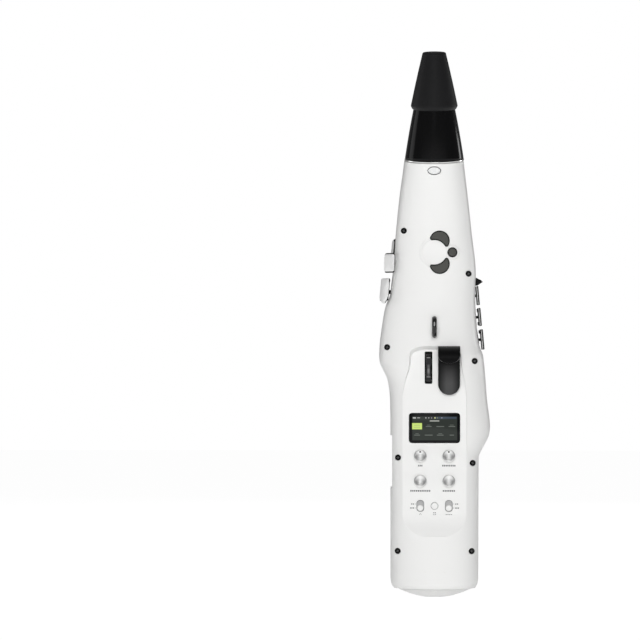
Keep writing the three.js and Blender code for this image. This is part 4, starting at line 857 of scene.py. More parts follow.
def plastic_finishes(settings):
    """The white, black, grey and clear plastics, by name."""
    white, black = tuple(settings.shell.plastic_colour), tuple(settings.neck.black_colour)
    return {
        "white": plain_finish("white_plastic", white, settings.shell.gloss, grain=1400.0,
                              grain_depth=0.000004, change=0.03, edge=settings.shell.edge_radius,
                              streaks=0.06, dust=0.03, cloud=0.004, specular=0.4),
        "foot_white": plain_finish("foot_plastic", shade(white, 0.98), 0.4, grain=1800.0,
                                   grain_depth=0.000006, change=0.05, dust=0.05, cloud=0.006, specular=0.3),
        "black_gloss": plain_finish("piano_black", shade(black, 0.25), 0.13, grain=700.0,
                                    grain_depth=0.000001, change=0.04, edge=0.0004, streaks=0.12,
                                    dust=0.015, specular=0.16, wear=grey(0.03), wear_amount=0.4),
        "black_matt": plain_finish("fine_matt_black", shade(black, 0.6), 0.5, grain=2600.0,
                                   grain_depth=0.000008, dust=0.02, specular=0.22, wear=grey(0.03),
                                   wear_amount=0.5),
        "satin_black": plain_finish("satin_black", shade(black, 0.3), 0.3, grain=2200.0, grain_depth=0.000006,
                                    edge=0.0006, dust=0.015, specular=0.18, wear=grey(0.12), wear_amount=0.8),
        "hook_black": hook_finish(black),
        "rocker": rocker_finish(black),
        "deep_black": plain_finish("shadow_black", grey(0.003), 0.6, grain=2000.0, grain_depth=0.000008,
                                   edge=0.0002, dust=0.0, specular=0.1),
        "trim_grey": plain_finish("trim_grey", (0.10, 0.10, 0.105), 0.45, grain=2000.0, grain_depth=0.000004,
                                  edge=0.0002, dust=0.0, specular=0.3),
        "slot_grey": plain_finish("slot_liner_grey", grey(0.52), 0.5, grain=1800.0, grain_depth=0.000008,
                                  edge=0.0002, specular=0.3),
        "port_grey": plain_finish("port_panel_grey", (0.56, 0.57, 0.575), 0.42, grain=2400.0,
                                  grain_depth=0.00001, edge=0.0004),
        "pad": plain_finish("touch_pad_grey", (0.075, 0.075, 0.07), 0.55, grain=3000.0, grain_depth=0.000012,
                            edge=0.0003, dust=0.03, specular=0.25),
        "lens": plain_finish("milky_lens", (0.86, 0.87, 0.87), 0.25, grain_depth=0.000001, edge=0.0004,
                             coat=0.4, transmission=0.15, ior=1.45),
        "silicone": plain_finish("clear_silicone", (0.78, 0.8, 0.79), 0.35, grain=500.0, edge=0.0003,
                                 transmission=0.3, ior=1.41),
        "reed": plain_finish("composite_reed", (0.10, 0.088, 0.065), 0.5, grain=1500.0, cloud=0.2,
                             edge=0.0003),
        "ink": plain_finish("panel_ink", (0.16, 0.16, 0.165), 0.55, grain=2500.0, grain_depth=0.000002,
                            edge=0.0001, dust=0.0),
        "pearl": plain_finish("pearl_inlay", (0.82, 0.81, 0.78), 0.12, grain=160.0, grain_depth=0.00001,
                              cloud=0.16, edge=0.0004, coat=0.6),
        "battery": plain_finish("shrink_wrap_blue", (0.03, 0.09, 0.28), 0.3, grain=300.0, grain_depth=0.00006,
                                change=0.12, edge=0.0012, coat=0.3),
    }


def metal_finishes():
    """The steels, platings and the turned aluminium, by name."""
    return {
        "bare_steel": plain_finish("bare_steel", grey(0.13), 0.4, metal=0.4, grain=1500.0, edge=0.0001,
                                   grain_depth=0.000004, streaks=0.3),
        "screw": plain_finish("black_zinc", grey(0.008), 0.4, metal=0.2, specular=0.2, grain=1500.0,
                              edge=0.0002, grain_depth=0.000004, streaks=0.4, dust=0.02, wear=grey(0.12),
                              wear_amount=0.6),
        "chrome": plain_finish("bright_plate", (0.86, 0.86, 0.85), 0.14, metal=1.0, grain=600.0,
                               grain_depth=0.000001, change=0.05, edge=0.0004, streaks=0.35, dust=0.05),
        "key_chrome": plain_finish("key_plate", (0.88, 0.88, 0.875), 0.34, metal=0.25, grain=500.0,
                                   grain_depth=0.000001, change=0.07, edge=0.0004, streaks=0.4, dust=0.03),
        # Near-black put on a key's rim by which way its faces turn: painted shade
        "rim_painted_shade": plain_finish("painted_shade_key_edge", grey(0.04), 0.38, specular=0.2, grain=500.0,
                                grain_depth=0.000001, change=0.07, edge=0.0003, streaks=0.4, dust=0.02),
        "dark_steel": ring_finish(),
        "aluminium": plain_finish("turned_aluminium", (0.92, 0.92, 0.91), 0.32, metal=0.75, grain=1800.0,
                                  grain_depth=0.000002, edge=0.0003, streaks=0.3, wear=grey(0.2),
                                  wear_amount=0.8),
    }


def build_finishes(settings):
    """Every finish of the instrument, and the frame nodes that stay seen in theirs."""
    FINISHES.update(plastic_finishes(settings))
    FINISHES.update(metal_finishes())
    FINISHES.update({"circuit": circuit_finish(), "screen": screen_finish()})
    renamed = {"white_shell": "white", "bright_ring": "chrome", "touch_pad": "pad", "knob": "aluminium"}
    for row in frame["record"]["subparts"]:
        if row["node"] in frame["nodes"]:
            slot = row["material_slot"]
            dress_node(row["node"], FINISHES[renamed.get(slot, slot)])
    for name, finish in (("air_tube", "silicone"), ("side_key_bracket", "satin_black"),
                         ("palm_key_bracket", "white")):
        dress_node(name, FINISHES[finish])


# Settings

def length(name, description, default, **limits):
    """A setting that is a length, kept in metres."""
    return bpy.props.FloatProperty(name=name, description=description, default=default, unit="LENGTH",
                                   subtype="DISTANCE", **limits)


def paint(name, description, default):
    """A setting that is a colour."""
    return bpy.props.FloatVectorProperty(name=name, description=description, default=default, size=3,
                                         subtype="COLOR", min=0, max=1)


class ShellSettings(bpy.types.PropertyGroup):
    """The two shells and what is moulded in them."""
    plastic_colour: paint("Plastic colour", "Colour of the white shells", (0.85, 0.85, 0.84))
    gloss: bpy.props.FloatProperty(name="Roughness", description="Roughness of the white shells",
                                   default=0.38, min=0, max=1, subtype="FACTOR")
    edge_radius: length("Edge radius", "Rounding of every moulded edge", 0.0008, min=0)
    sides: bpy.props.IntProperty(name="Sides", description="Points round the body's section", default=120,
                                 min=24)
    row_step: bpy.props.FloatProperty(name="Row step", default=3.0, min=1,
                                      description="Height between the body's rings, in millimetres")


class NeckSettings(bpy.types.PropertyGroup):
    """The leaning neck and the mouthpiece."""
    black_colour: paint("Black", "Colour of the black plastics", (0.012, 0.012, 0.013))
    ring_radius: length("Ring radius", "Half width of the bright ring", 0.0312)
    barrel_foot: length("Barrel foot", "Half width of the barrel at its foot", 0.0308)
    barrel_top: length("Barrel top", "Half width of the barrel at its top", 0.0214)
    cap_skirt: length("Cap skirt", "Half width of the cap at its skirt", 0.0245)
    cap_top: length("Cap top", "Half width of the cap at its top", 0.0125)


class ControlSettings(bpy.types.PropertyGroup):
    """Knobs, switches, rocker, screen and thumb parts."""
    knob_radius: length("Knob radius", "Radius of the four knobs", 0.0065)
    knob_height: length("Knob height", "Height of the four knobs", 0.0062)
    knob_teeth: bpy.props.IntProperty(name="Knob teeth", description="Fine teeth round each knob", default=44,
                                      min=0)
    hook_thickness: length("Hook thickness", "Sheet thickness of the thumb hook", 0.0028)
    rocker_edge: length("Rocker edge", "Rounding of the bend rocker's sides", 0.0007)


class KeySettings(bpy.types.PropertyGroup):
    """Palm, side, finger and little-finger keys."""
    crown: length("Crown", "Rise of the middle of a key's face", 0.0005)
    edge_radius: length("Edge radius", "Rounding of a key's rim", 0.0008)


class StageSettings(bpy.types.PropertyGroup):
    """Floor, lamps and camera."""
    distance: length("Camera distance", "From the camera to the instrument", 3.0, min=0.5)
    picture_width: length("Picture width", "Width seen at the instrument", 0.6757, min=0.1)
    elevation: bpy.props.FloatProperty(name="Elevation", description="How far the camera looks down",
                                       default=math.radians(-1.15), unit="ROTATION", subtype="ANGLE")
    aside: length("Aside", "How far the instrument stands right of the middle", 0.1208)
    middle_height: length("Middle height", "Height in the middle of the picture", 0.291)
    world_light: bpy.props.FloatProperty(name="World light", description="Strength of the even light",
                                         default=0.14, min=0)
    mirror_light: bpy.props.FloatProperty(name="Mirror light", default=0.22, min=0,
                                          description="Strength of the room in reflections")
    key_light: bpy.props.FloatProperty(name="Key light", description="Power of the main lamp in watts",
                                       default=66.0, min=0)


class InstrumentSettings(bpy.types.PropertyGroup):
    """All the settings of the instrument."""
    shell: bpy.props.PointerProperty(type=ShellSettings)
    neck: bpy.props.PointerProperty(type=NeckSettings)
    control: bpy.props.PointerProperty(type=ControlSettings)
    key: bpy.props.PointerProperty(type=KeySettings)
    stage: bpy.props.PointerProperty(type=StageSettings)


# Shells

def key_matrix(row):
    """A side key's own frame: its outer face looks along local -Y and its length runs up local Z."""
    foot, top, x, y, angle, _, lean = row[:7]
    return matrix_of((x, y, (foot + top) / 2), math.radians(angle), math.radians(lean))


def bracket_block(places):
    """The tight skin round a small block in each key's frame, for the slot of the keys' bracket."""
    half = BRACKET_HALF + GAP
    small = block(-half, half, -KEY_STANDOFF, BRACKET_DEPTH, -half, half)
    return hull_of("bracket_slot", [moved(small, place) for place in places])


def arc_points(centre, radius, start, stop, steps):
    """Points on a circle: c + r (cos t, sin t)."""
    t = np.linspace(start, stop, steps)
    return np.asarray(centre) + radius * np.stack([np.cos(t), np.sin(t)], 1)


def crescent_outline(direction, grow):
    """The part of a round pad outside the dish: its rim and the dish's rim, joined by tangent circles."""
    centre = np.array([PAD_X, direction * PAD_RISE])
    big, small, tip = PAD_RADIUS + grow, DISH_RADIUS - grow, PAD_TIP + grow
    away, toward = np.linalg.norm(centre), math.atan2(centre[1], centre[0])
    spread = math.acos((away**2 + (small + tip) ** 2 - (big - tip) ** 2) / (2 * away * (small + tip)))
    left, right = (arc_points((0, 0), small + tip, toward + a, toward + a, 1)[0] for a in (spread, -spread))

    def sweep(middle, radius, start, stop, steps, turn=1):
        first, last = math.atan2(start[1], start[0]), math.atan2(stop[1], stop[0])
        while turn * (last - first) < 0:
            last += turn * 2 * np.pi
        return arc_points(middle, radius, first, last, steps)

    outline = np.concatenate([
        sweep(centre, big, right - centre, left - centre, PAD_STEPS),
        sweep(left, tip, left - centre, -left, TIP_STEPS + 2)[1:-1],
        sweep((0, 0), small, left, right, PAD_STEPS, -1),
        sweep(right, tip, -right, right - centre, TIP_STEPS + 2)[1:-1]])
    return outline + [0, DISH_Z]


def panel_cutter(floor, gap):
    """The hollow of the control panel: flat floor, leaning walls, soft corners and a ramp at its foot."""
    foot, top, side, rear = PANEL_FOOT - PANEL_RUN - gap, PANEL_TOP + gap, 60.0, -80.0
    profile = soften([(floor, PANEL_FOOT), (floor, top + 60), (rear, top + 60), (rear, foot - 40),
                      (floor - PANEL_DROP, foot)], [14.0, SHARP, SHARP, SHARP, SHARP], 10)
    cutter = make_mesh("panel_ramp", [facing_side(straight(profile, -side, side))])
    low, (upper, lower) = PANEL_HALF_FOOT + gap, PANEL_WIDENS
    right, left = ([(low, foot), (low, lower), (high + 0.6, upper), (high, top - 1.6), (high - 12, top + 1.4)]
                   for high in (PANEL_RIGHT + gap, PANEL_LEFT + gap))
    face = soften(right + [(-x, z) for x, z in left[::-1]], PANEL_ROUNDS + PANEL_ROUNDS[::-1], 10)
    climb = np.clip((face[:, 1] - lower) / (top - lower), 0, 1.05)[:, None] ** 2
    lean = np.where(face[:, :1] < 0, -PANEL_SIDE_SLOPES[0], PANEL_SIDE_SLOPES[1])
    outer = face + (floor - rear) * climb * np.concatenate([lean, np.full_like(lean, PANEL_SLOPE)], 1)
    rings = np.stack([at_depth(face, floor + 0.0001), at_depth(outer, rear)])
    return combine(cutter, make_mesh("panel_face", [facing_rear(rings)]), "INTERSECT")


def shell_stock(shell):
    """The whole body with its wall, its screw bosses and the hollow of the panel."""
    rows = [np.linspace(*row) for row in FINE_ROWS]
    heights = np.unique(np.concatenate([np.arange(SHELL_FOOT, BODY_TOP, shell.row_step), *rows, [BODY_TOP]]))
    outer = make_mesh("outer_body", [body_surface(heights, shell.sides)])
    cut(outer, moved(block(-FAR, FAR, -FAR, FAR, 0, FAR), NECK))
    combine(outer, panel_cutter(PANEL_Y, 0.0))
    within = np.concatenate([[BELOW_FOOT], heights[heights < INNER_TOP], [INNER_TOP]])
    inner = make_mesh("inner_body", [body_surface(within, 72, -WALL)])
    combine(inner, panel_cutter(PANEL_Y + WALL, WALL))
    bosses = make_mesh("bosses", [rod(BOSS_RADIUS, x, z, -FAR, FAR) for x, z in SCREWS])
    combine(bosses, make_mesh("within_wall", [body_surface(heights, shell.sides, -BOSS_INSET)]), "INTERSECT")
    return combine(combine(outer, inner), bosses, "UNION")


def open_body(stock):
    """Cuts the neck's bore, the port window, the brackets' slots, the keys' pockets and the screws' ways."""
    palm, side = ([key_matrix(row) for row in rows.values()] for rows in (PALM_KEYS, SIDE_KEYS))
    _, _, first_x, _, first_angle = SIDE_KEYS["side_key_1"][:5]
    half_y, half_z, slot = PORT_SIZE[0] / 2, PORT_SIZE[1] / 2, WEDGE_HALF + GAP / 2
    cut(stock, moved(turned([(NECK_BORE, -30), (NECK_BORE, 30)], 48), NECK))
    cut(stock, block(-FAR, PORT_WINDOW_X, PORT_Y - half_y, PORT_Y + half_y, PORT_Z - half_z, PORT_Z + half_z))
    combine(stock, bracket_block(palm))
    combine(stock, bracket_block([matrix_of((first_x, WEDGE_Y, WEDGE_Z), math.radians(first_angle)), *side]))
    cut(stock, block(36, 50, WEDGE_Y - slot, WEDGE_Y + slot, WEDGE_Z - WEDGE_RISE, WEDGE_Z + WEDGE_RISE))
    for row, matrix in zip([*PALM_KEYS.values(), *SIDE_KEYS.values()], palm + side):
        wide, tall = row[5] + 2 * SIDE_TRAVEL, row[1] - row[0] + 2 * SIDE_TRAVEL
        cut(stock, moved(plate(box_outline(0, 0, wide, tall, 2.0), -30, SIDE_TRAVEL + GAP, 0.5), matrix))
    for x, z in SCREWS:
        cut(stock, rod(SCREW_WAY, x, z, face_at(x, z) + SCREW_FLOOR, SEAM_Y + SCREW_WAY_END, 24))


def dish_cutter(face):
    """The thumb dish: the cap of a large ball within the dish's round, so its floor is a shallow bowl."""
    ball = (DISH_RADIUS**2 + DISH_DEPTH**2) / (2 * DISH_DEPTH)
    way = np.linspace(0.001, np.pi - 0.001, 65)
    globe = turned(np.column_stack([ball * np.sin(way), ball * np.cos(way)]), 128)
    dish = make_mesh("dish_ball", [globe + np.array([0, face + DISH_DEPTH - ball, DISH_Z])])
    return combine(dish, make_mesh("dish_rod", [rod(DISH_RADIUS, 0, DISH_Z, -60, SEAM_Y, 96)]), "INTERSECT")


def rear_openings():
    """The rear face's openings: thumb pad, lens, screws, strap ring, knobs, switches, screen and rocker."""
    holes = [rod(THUMB_PAD_RADIUS + GAP, THUMB_PAD_X, DISH_Z, -FAR, SEAM_Y),
             rear_hole(round_outline(0, LENS_Z, LENS_SIZE[0] + GAP, LENS_SIZE[1] + GAP), -20)]
    holes += [rod(SCREW_RECESS, x, z, -FAR, face_at(x, z) + SCREW_SEAT) for x, z in SCREWS]
    for turn in (-1, 1):
        holes.append(rod(STRAP_WIRE + 0.28, 0, STRAP_Z + turn * STRAP_SPAN, -FAR, PANEL_Y - 0.7, 24))
        holes.append(rear_hole(box_outline(turn * KNOB_X, SWITCH_Z, SLOT_WIDE, SLOT_TALL, SLOT_CORNER)))
        holes += [rod(KNOB_BORE + GAP, turn * KNOB_X, z, -FAR, SEAM_Y, 32) for z in KNOB_ROWS]
        holes += [rod(0.45, turn * 10, z, -FAR, face_at(10, z) + 0.5, 12) for z in (27, 16)]
    holes.append(rod(BUTTON_HOLE, 0, SWITCH_Z, -FAR, SEAM_Y))
    for x, z, wide, tall, corner in ((0, GLASS_Z, *GLASS_SIZE, GLASS_CORNER),
                                     (ROCKER_X, ROCKER_Z, WELL_WIDE, WELL_TALL, WELL_WALL)):
        holes.append(rear_hole(box_outline(x, z, wide + 2 * GAP, tall + 2 * GAP, corner)))
    return holes


def shape_rear(rear):
    """Adds the dish's backing and the thumb pad's rim to the rear shell, and cuts its openings and dish."""
    dish_face = face_at(DISH_RADIUS, DISH_Z)
    join(rear, rod(DISH_RADIUS + WALL, 0, DISH_Z, dish_face - 1.2, dish_face + 4.1, 64))
    bore = THUMB_PAD_RADIUS + GAP
    profile = soften([(bore, 4.0), (bore, -1.0), (RIM_RADIUS, -0.7), (RIM_RADIUS + 0.6, 4.0)],
                     [0.1, 0.6, 1.0, 0.1], 5)
    rise = face_at(THUMB_PAD_X + 3, DISH_Z) - face_at(THUMB_PAD_X - 3, DISH_Z)
    place = matrix_of((THUMB_PAD_X, face_at(THUMB_PAD_X, DISH_Z), DISH_Z), math.atan2(rise, 6))
    join(rear, closed(moved(facing_rear(turned(profile, 72)), place)))
    cut(rear, *rear_openings())
    for direction in (1, -1):
        cut(rear, rear_hole(crescent_outline(direction, GAP)))
    combine(rear, dish_cutter(dish_face))


def build_shells(settings):
    """Both shells: the body's skin with a wall, screw bosses, the panel, and every opening cut through."""
    rear = shell_stock(settings.shell)
    open_body(rear)
    front = add_object("front_shell_skin", rear.data.copy())
    rear.name = "rear_shell_skin"
    cut(rear, block(-FAR, FAR, SEAM_Y - GAP / 2, FAR, BELOW_FOOT, ABOVE_TOP))
    cut(front, block(-FAR, FAR, -FAR, SEAM_Y + GAP / 2, BELOW_FOOT, ABOVE_TOP))
    shape_rear(rear)
    keys = [row[:2] for row in (*FRONT_KEYS.values(), *PINKY_KEYS.values())]
    cut(front, *(rod(STEM_HOLE, x, z, SEAM_Y, FAR, 24) for x, z in keys))
    for piece, name in ((rear, "rear_shell"), (front, "front_shell")):
        finish_mesh(piece.data, False, 28.0)
        skin_normals(piece.data)
        dress(piece, FINISHES["white"], "case", "white_shell", [name])


def build_bottom(settings):
    """The bottom cap: a dome whose width grows with the root of the height, and a plug in the shells."""
    sides = settings.shell.sides
    left, right, middle, reach = body_reach(np.array([SHELL_FOOT]))
    along, across = oval_shares(sides)
    top = SHELL_FOOT - GAP
    rings = []
    for z in top * np.linspace(0, 1, 15) ** 1.5:
        share = BOTTOM_SHARE * math.sqrt((z + BOTTOM_FLAT) / (top + BOTTOM_FLAT))
        x, y = np.where(along < 0, left, right) * along * share, middle + reach * across * share
        rings.append(at_depth(np.column_stack([x, y]), z))
    plug = body_surface(np.array([top + 0.05, top + PLUG_HEIGHT]), sides, -WALL - GAP)
    piece = make_mesh("bottom_cap_dome", [np.concatenate([np.stack(rings), plug])])
    profile = [(SHARP, -1), (DIMPLE_RADIUS, -1), (DIMPLE_RADIUS, 6.2), (SHARP, 6.2)]
    cut(piece, *(turned(profile, 20) + np.array([x, DIMPLE_Y, 0]) for x in (-15, 0, 15)))
    finish_mesh(piece.data, False, 30)
    dress(piece, FINISHES["foot_white"], "case", "white_shell", ["bottom_cap"])


def skin_normals(mesh, step=0.05):
    """Gives corners on the outer skin the gradient of the body's field, so that cuts leave no marks.

    The field is |x / a|^p + |(y - m) / b|^p - 1, with a, b and m worked out from the height.
    """
    def field(place):
        left, right, middle, reach = body_reach(place[:, 2])
        return (np.abs(place[:, 0] / np.where(place[:, 0] < 0, left, right)) ** SECTION_POWER
                + np.abs((place[:, 1] - middle) / reach) ** SECTION_POWER - 1)

    places = (values_of(mesh.vertices, "co", 3) - np.array(FOOT)) / MM
    slope = np.stack([field(places + way) - field(places - way) for way in np.eye(3) * step], -1) / (2 * step)
    size = np.maximum(np.linalg.norm(slope, axis=1), TINY)
    near = np.abs(field(places)) / size < 0.12
    index = values_of(mesh.loops, "vertex_index", kind=np.int32)
    wanted = (slope / size[:, None])[index]
    sides = values_of(mesh.polygons, "loop_total", kind=np.int32)
    flat = np.repeat(values_of(mesh.polygon_normals, "vector", 3), sides, axis=0)
    alike = np.sum(wanted * flat, axis=1) > 0.9
    own = values_of(mesh.corner_normals, "vector", 3)
    mesh.normals_split_custom_set(np.where((near[index] & alike)[:, None], wanted, own).tolist())


# Neck and mouthpiece

def swelling(first, last, low, high, swell):
    """A profile from one radius and height to another, swollen by a half sine, in even steps."""
    share = np.linspace(0, 1, 24)
    return np.column_stack([first + (last - first) * share + swell * np.sin(np.pi * share),
                            low + (high - low) * share])


def build_neck(settings):
    """Ring, barrel and cap: soft profiles turned about the leaning axis, flattened to an oval."""
    neck = settings.neck
    ring, foot, top = neck.ring_radius / MM, neck.barrel_foot / MM, neck.barrel_top / MM
    profile = soften([(NECK_BORE, RING_LOW), (ring, RING_LOW), (ring, RING_HIGH), (NECK_BORE, RING_HIGH)],
                     [0.05, 0.5, 0.5, 0.05])
    piece = make_mesh("neck_ring_bright", [closed(moved(turned(profile, NECK_SIDES, NECK_OVAL), NECK))])
    dress(piece, FINISHES["chrome"], "case", "bright_ring", ["neck_ring"])

    wall = swelling(foot, top, BARREL_LOW + 0.6, BARREL_HIGH - 0.8, 0.35)
    profile = np.concatenate([
        [(TENON_BORE, BARREL_LOW), (foot - 1.0, BARREL_LOW), (foot - 0.4, BARREL_LOW + 0.15),
         (foot - 0.08, BARREL_LOW + 0.4)], wall,
        [(top - 0.3, BARREL_HIGH - 0.3), (top - 0.9, BARREL_HIGH), (12.4, BARREL_HIGH),
          (11.6, BARREL_HIGH - 0.2), (11.4, BARREL_HIGH - 0.8), (11.4, TENON_TOP), (TENON_BORE, TENON_TOP)]])
    piece = make_mesh("neck_barrel_gloss", [closed(moved(turned(profile, NECK_SIDES, NECK_OVAL), NECK))])
    dress(piece, FINISHES["black_gloss"], "case", "black_gloss", ["neck_barrel"])

    skirt, crown, hollow_top = neck.cap_skirt / MM, neck.cap_top / MM, CAP_TOP - CAP_WALL
    wall = swelling(skirt, crown, CAP_LOW + 3.75, CAP_TOP - 2, 0.25)
    inside = swelling(crown - CAP_WALL, skirt - CAP_WALL - 0.3, hollow_top, CAP_LOW + 0.25, 0.0)
    round_edge = np.linspace(0.25, np.pi / 2, 7)
    round_top = np.column_stack([crown - CAP_EDGE * (1 - np.cos(round_edge)),
                                 CAP_TOP - CAP_EDGE * (1 - np.sin(round_edge))])
    profile = np.concatenate([
        [(SHARP, hollow_top), (crown - 4.0, hollow_top)], inside[1:],
        [(skirt - 1.9, CAP_LOW), (skirt - 1.4, CAP_LOW + 0.35), (skirt - 0.35, CAP_LOW + 2.45),
         (skirt - 0.05, CAP_LOW + 3.15)], wall, round_top,
        [(crown - 5, CAP_TOP + 0.05), (SHARP, CAP_TOP + 0.1)]])
    piece = make_mesh("mouthpiece_cap_matt", [moved(turned(profile, NECK_SIDES, NECK_OVAL), NECK)])
    dress(piece, FINISHES["black_matt"], "mouthpiece_cap", "black_matt", ["mouthpiece_cap"])


# Touch pads and lens

def panel_y(x, z):
    """Y of the control panel's flat over a place."""
    return np.full(len(x), PANEL_Y)


def lifted(line, lift, surface=body_y):
    """Points of an outline laid on a surface of the rear and moved along Y."""
    return np.column_stack([line[:, 0], surface(line[:, 0], line[:, 1]) + lift, line[:, 1]])


def skin_plate(outline, edge, steps=3):
    """A plate's rim on the body: rings inset by r (1 - cos t) and sunk by r (1 - sin t) under its face."""
    rings = [lifted(outline, PAD_DEPTH)]
    for t in np.linspace(0, np.pi / 2, steps + 1):
        rings.append(lifted(inset(outline, edge * (1 - np.cos(t))), edge * (1 - np.sin(t)) - PAD_PROUD))
    return rings


def crowned_plate(outline, centre, edge=0.45, layers=7):
    """A skin plate closed by rings that shrink to its middle, so that its face follows the body's curve."""
    last = inset(outline, edge)
    shares = np.linspace(1, 0, layers + 1)[1:]
    face = [lifted(centre + (last - centre) * share, -PAD_PROUD) for share in shares]
    return np.stack(skin_plate(outline, edge) + face)


def crescent_plate(outline, edge=0.3, layers=4):
    """A crescent's plate: its rim, then rings that shrink to the line midway between its two arcs."""
    line = inset(outline, edge)
    spine = (line + np.roll(line[::-1], -TIP_STEPS, 0)) / 2
    shares = np.linspace(1, 0.02, layers + 1)[1:]
    face = [lifted(spine + (line - spine) * share, -PAD_PROUD) for share in shares]
    return np.stack(skin_plate(outline, edge) + face)


def trim_ring(name, outer, width, surface=body_y, proud=0.12, depth=2.0):
    """A thin closed trim along an outline, lying on a surface."""
    inner = inset(outer, width)
    sides = ((outer, depth), (outer, -proud), (inner, -proud), (inner, depth))
    return make_mesh(name, [closed(np.stack([lifted(line, lift, surface) for line, lift in sides]))])


def build_pads(settings):
    """Two crescent pads round the dish, the small round pad and the status lens, each with its dark trim."""
    for name, direction in (("octave_up_pad", 1), ("octave_down_pad", -1)):
        outline = crescent_outline(direction, 0.0)
        piece = make_mesh(name + "_soft", [crescent_plate(inset(outline, 0.75))])
        dress(piece, FINISHES["pad"], "case", "touch_pad", [name])
        dress(trim_ring(name + "_trim", outline, 0.7), FINISHES["deep_black"], "case", "touch_pad")
    for name, outline, middle, width, finish, trim, slot in (
            ("thumb_pad", round_outline(THUMB_PAD_X, DISH_Z, THUMB_PAD_RADIUS), (THUMB_PAD_X, DISH_Z), 0.7,
             "pad", "deep_black", "touch_pad"),
            ("status_lens", round_outline(0, LENS_Z, *LENS_SIZE, 64), (0, LENS_Z), 0.35,
             "lens", "trim_grey", "lens")):
        piece = make_mesh(name + "_soft", [crowned_plate(inset(outline, width + 0.05), np.array(middle))])
        dress(piece, FINISHES[finish], "case", slot, [name])
        dress(trim_ring(name + "_trim", outline, width), FINISHES[trim], "case", slot)


# Strap ring and thumb hook

def build_strap_ring(settings):
    """The strap ring: an oval wire through two legs and a half circle, joined to its anchor inside."""
    bend = np.linspace(np.pi / 2, -np.pi / 2, 33)
    arc = np.column_stack([STRAP_BEND_Y - STRAP_SPAN * np.cos(bend), STRAP_Z + STRAP_SPAN * np.sin(bend)])
    leg = np.linspace(PANEL_Y - 0.5, STRAP_BEND_Y, 12)[:-1]
    path = np.concatenate([at_depth(leg[:, None], STRAP_Z + STRAP_SPAN), arc,
                           at_depth(leg[::-1, None], STRAP_Z - STRAP_SPAN)])
    wire = tube(np.column_stack([np.zeros(len(path)), path]), STRAP_WIRE, STRAP_WIRE + STRAP_OVAL, 28)
    piece = make_mesh("strap_ring_wire", [wire])
    face = face_at(0, STRAP_Z + ANCHOR_TALL / 2) + ANCHOR_SINK
    join(piece, plate(box_outline(0, STRAP_Z, ANCHOR_WIDE, ANCHOR_TALL, 1.0), face, face + ANCHOR_DEEP))
    finish_mesh(piece.data, False, 40.0)
    dress(piece, FINISHES["dark_steel"], "case", "dark_steel", ["strap_ring"])


def build_thumb_hook(settings):
    """The thumb hook: a sheet up the panel, folded out at its top and arched down to a round tip."""
    low, high = box_of("thumb_hook")
    middle, half = (low[0] + high[0]) / 2, (high[0] - low[0]) / 2
    tip, foot, top = low[1], low[2], high[2] + HOOK_RISE
    thick = settings.control.hook_thickness / MM
    face, fold, bend = high[1] - thick, HOOK_FOLD, HOOK_BEND
    plate_top = top - fold
    u = np.sin(np.linspace(-np.pi / 2, np.pi / 2, 41))

    def row(y, z, wide=half):
        return np.column_stack([middle + u * wide, y + 0 * u, z + 0 * u])

    rows = []
    shares = np.concatenate([np.linspace(0, 0.4, 26) ** 1.6 / 0.4**0.6, np.linspace(0.4, 1, 12)[1:]])
    for z in foot + (plate_top - foot) * shares:
        wide = half * np.sqrt(np.clip(1 - np.clip(1 - (z - foot) / half, 0, 1) ** 2, 0.0004, 1))
        swell = 0.4 * (1 - u**2) * np.sin(np.pi * (z - foot) / (plate_top - foot))
        rows.append(row(face + swell, z, wide))
    for angle in np.linspace(0, np.pi / 2, 7)[1:]:
        rows.append(row(face - fold * (1 - np.cos(angle)), plate_top + fold * np.sin(angle)))
    for share in np.linspace(0, 1, 12)[1:]:
        rows.append(row(face - fold + (tip + bend - face + fold) * share, top))
    drop = HOOK_SIDE_DROP + (HOOK_MIDDLE_DROP - HOOK_SIDE_DROP) * np.sqrt(np.clip(1 - u**2, 0, 1))
    turn = np.arccos(1 - np.minimum(drop, bend) / bend)
    for share in np.linspace(0, 1, 14)[1:]:
        rows.append(row(tip + bend - bend * np.sin(turn * share), top - bend * (1 - np.cos(turn * share))))
    piece = make_mesh("thumb_hook_sheet", [(np.stack(rows), {"around": False, "ends": False})], outward=False)
    solidify = piece.modifiers.new("thickness", "SOLIDIFY")
    solidify.thickness, solidify.offset, solidify.use_even_offset = thick * MM, 1.0, True
    bevel = piece.modifiers.new("edge", "BEVEL")
    bevel.width, bevel.segments, bevel.limit_method, bevel.angle_limit = 0.0007, 3, "ANGLE", math.radians(50)
    bake_modifiers(piece)
    finish_mesh(piece.data, True, 50)
    dress(piece, FINISHES["hook_black"], "case", "black_matt", ["thumb_hook"])


# Controls

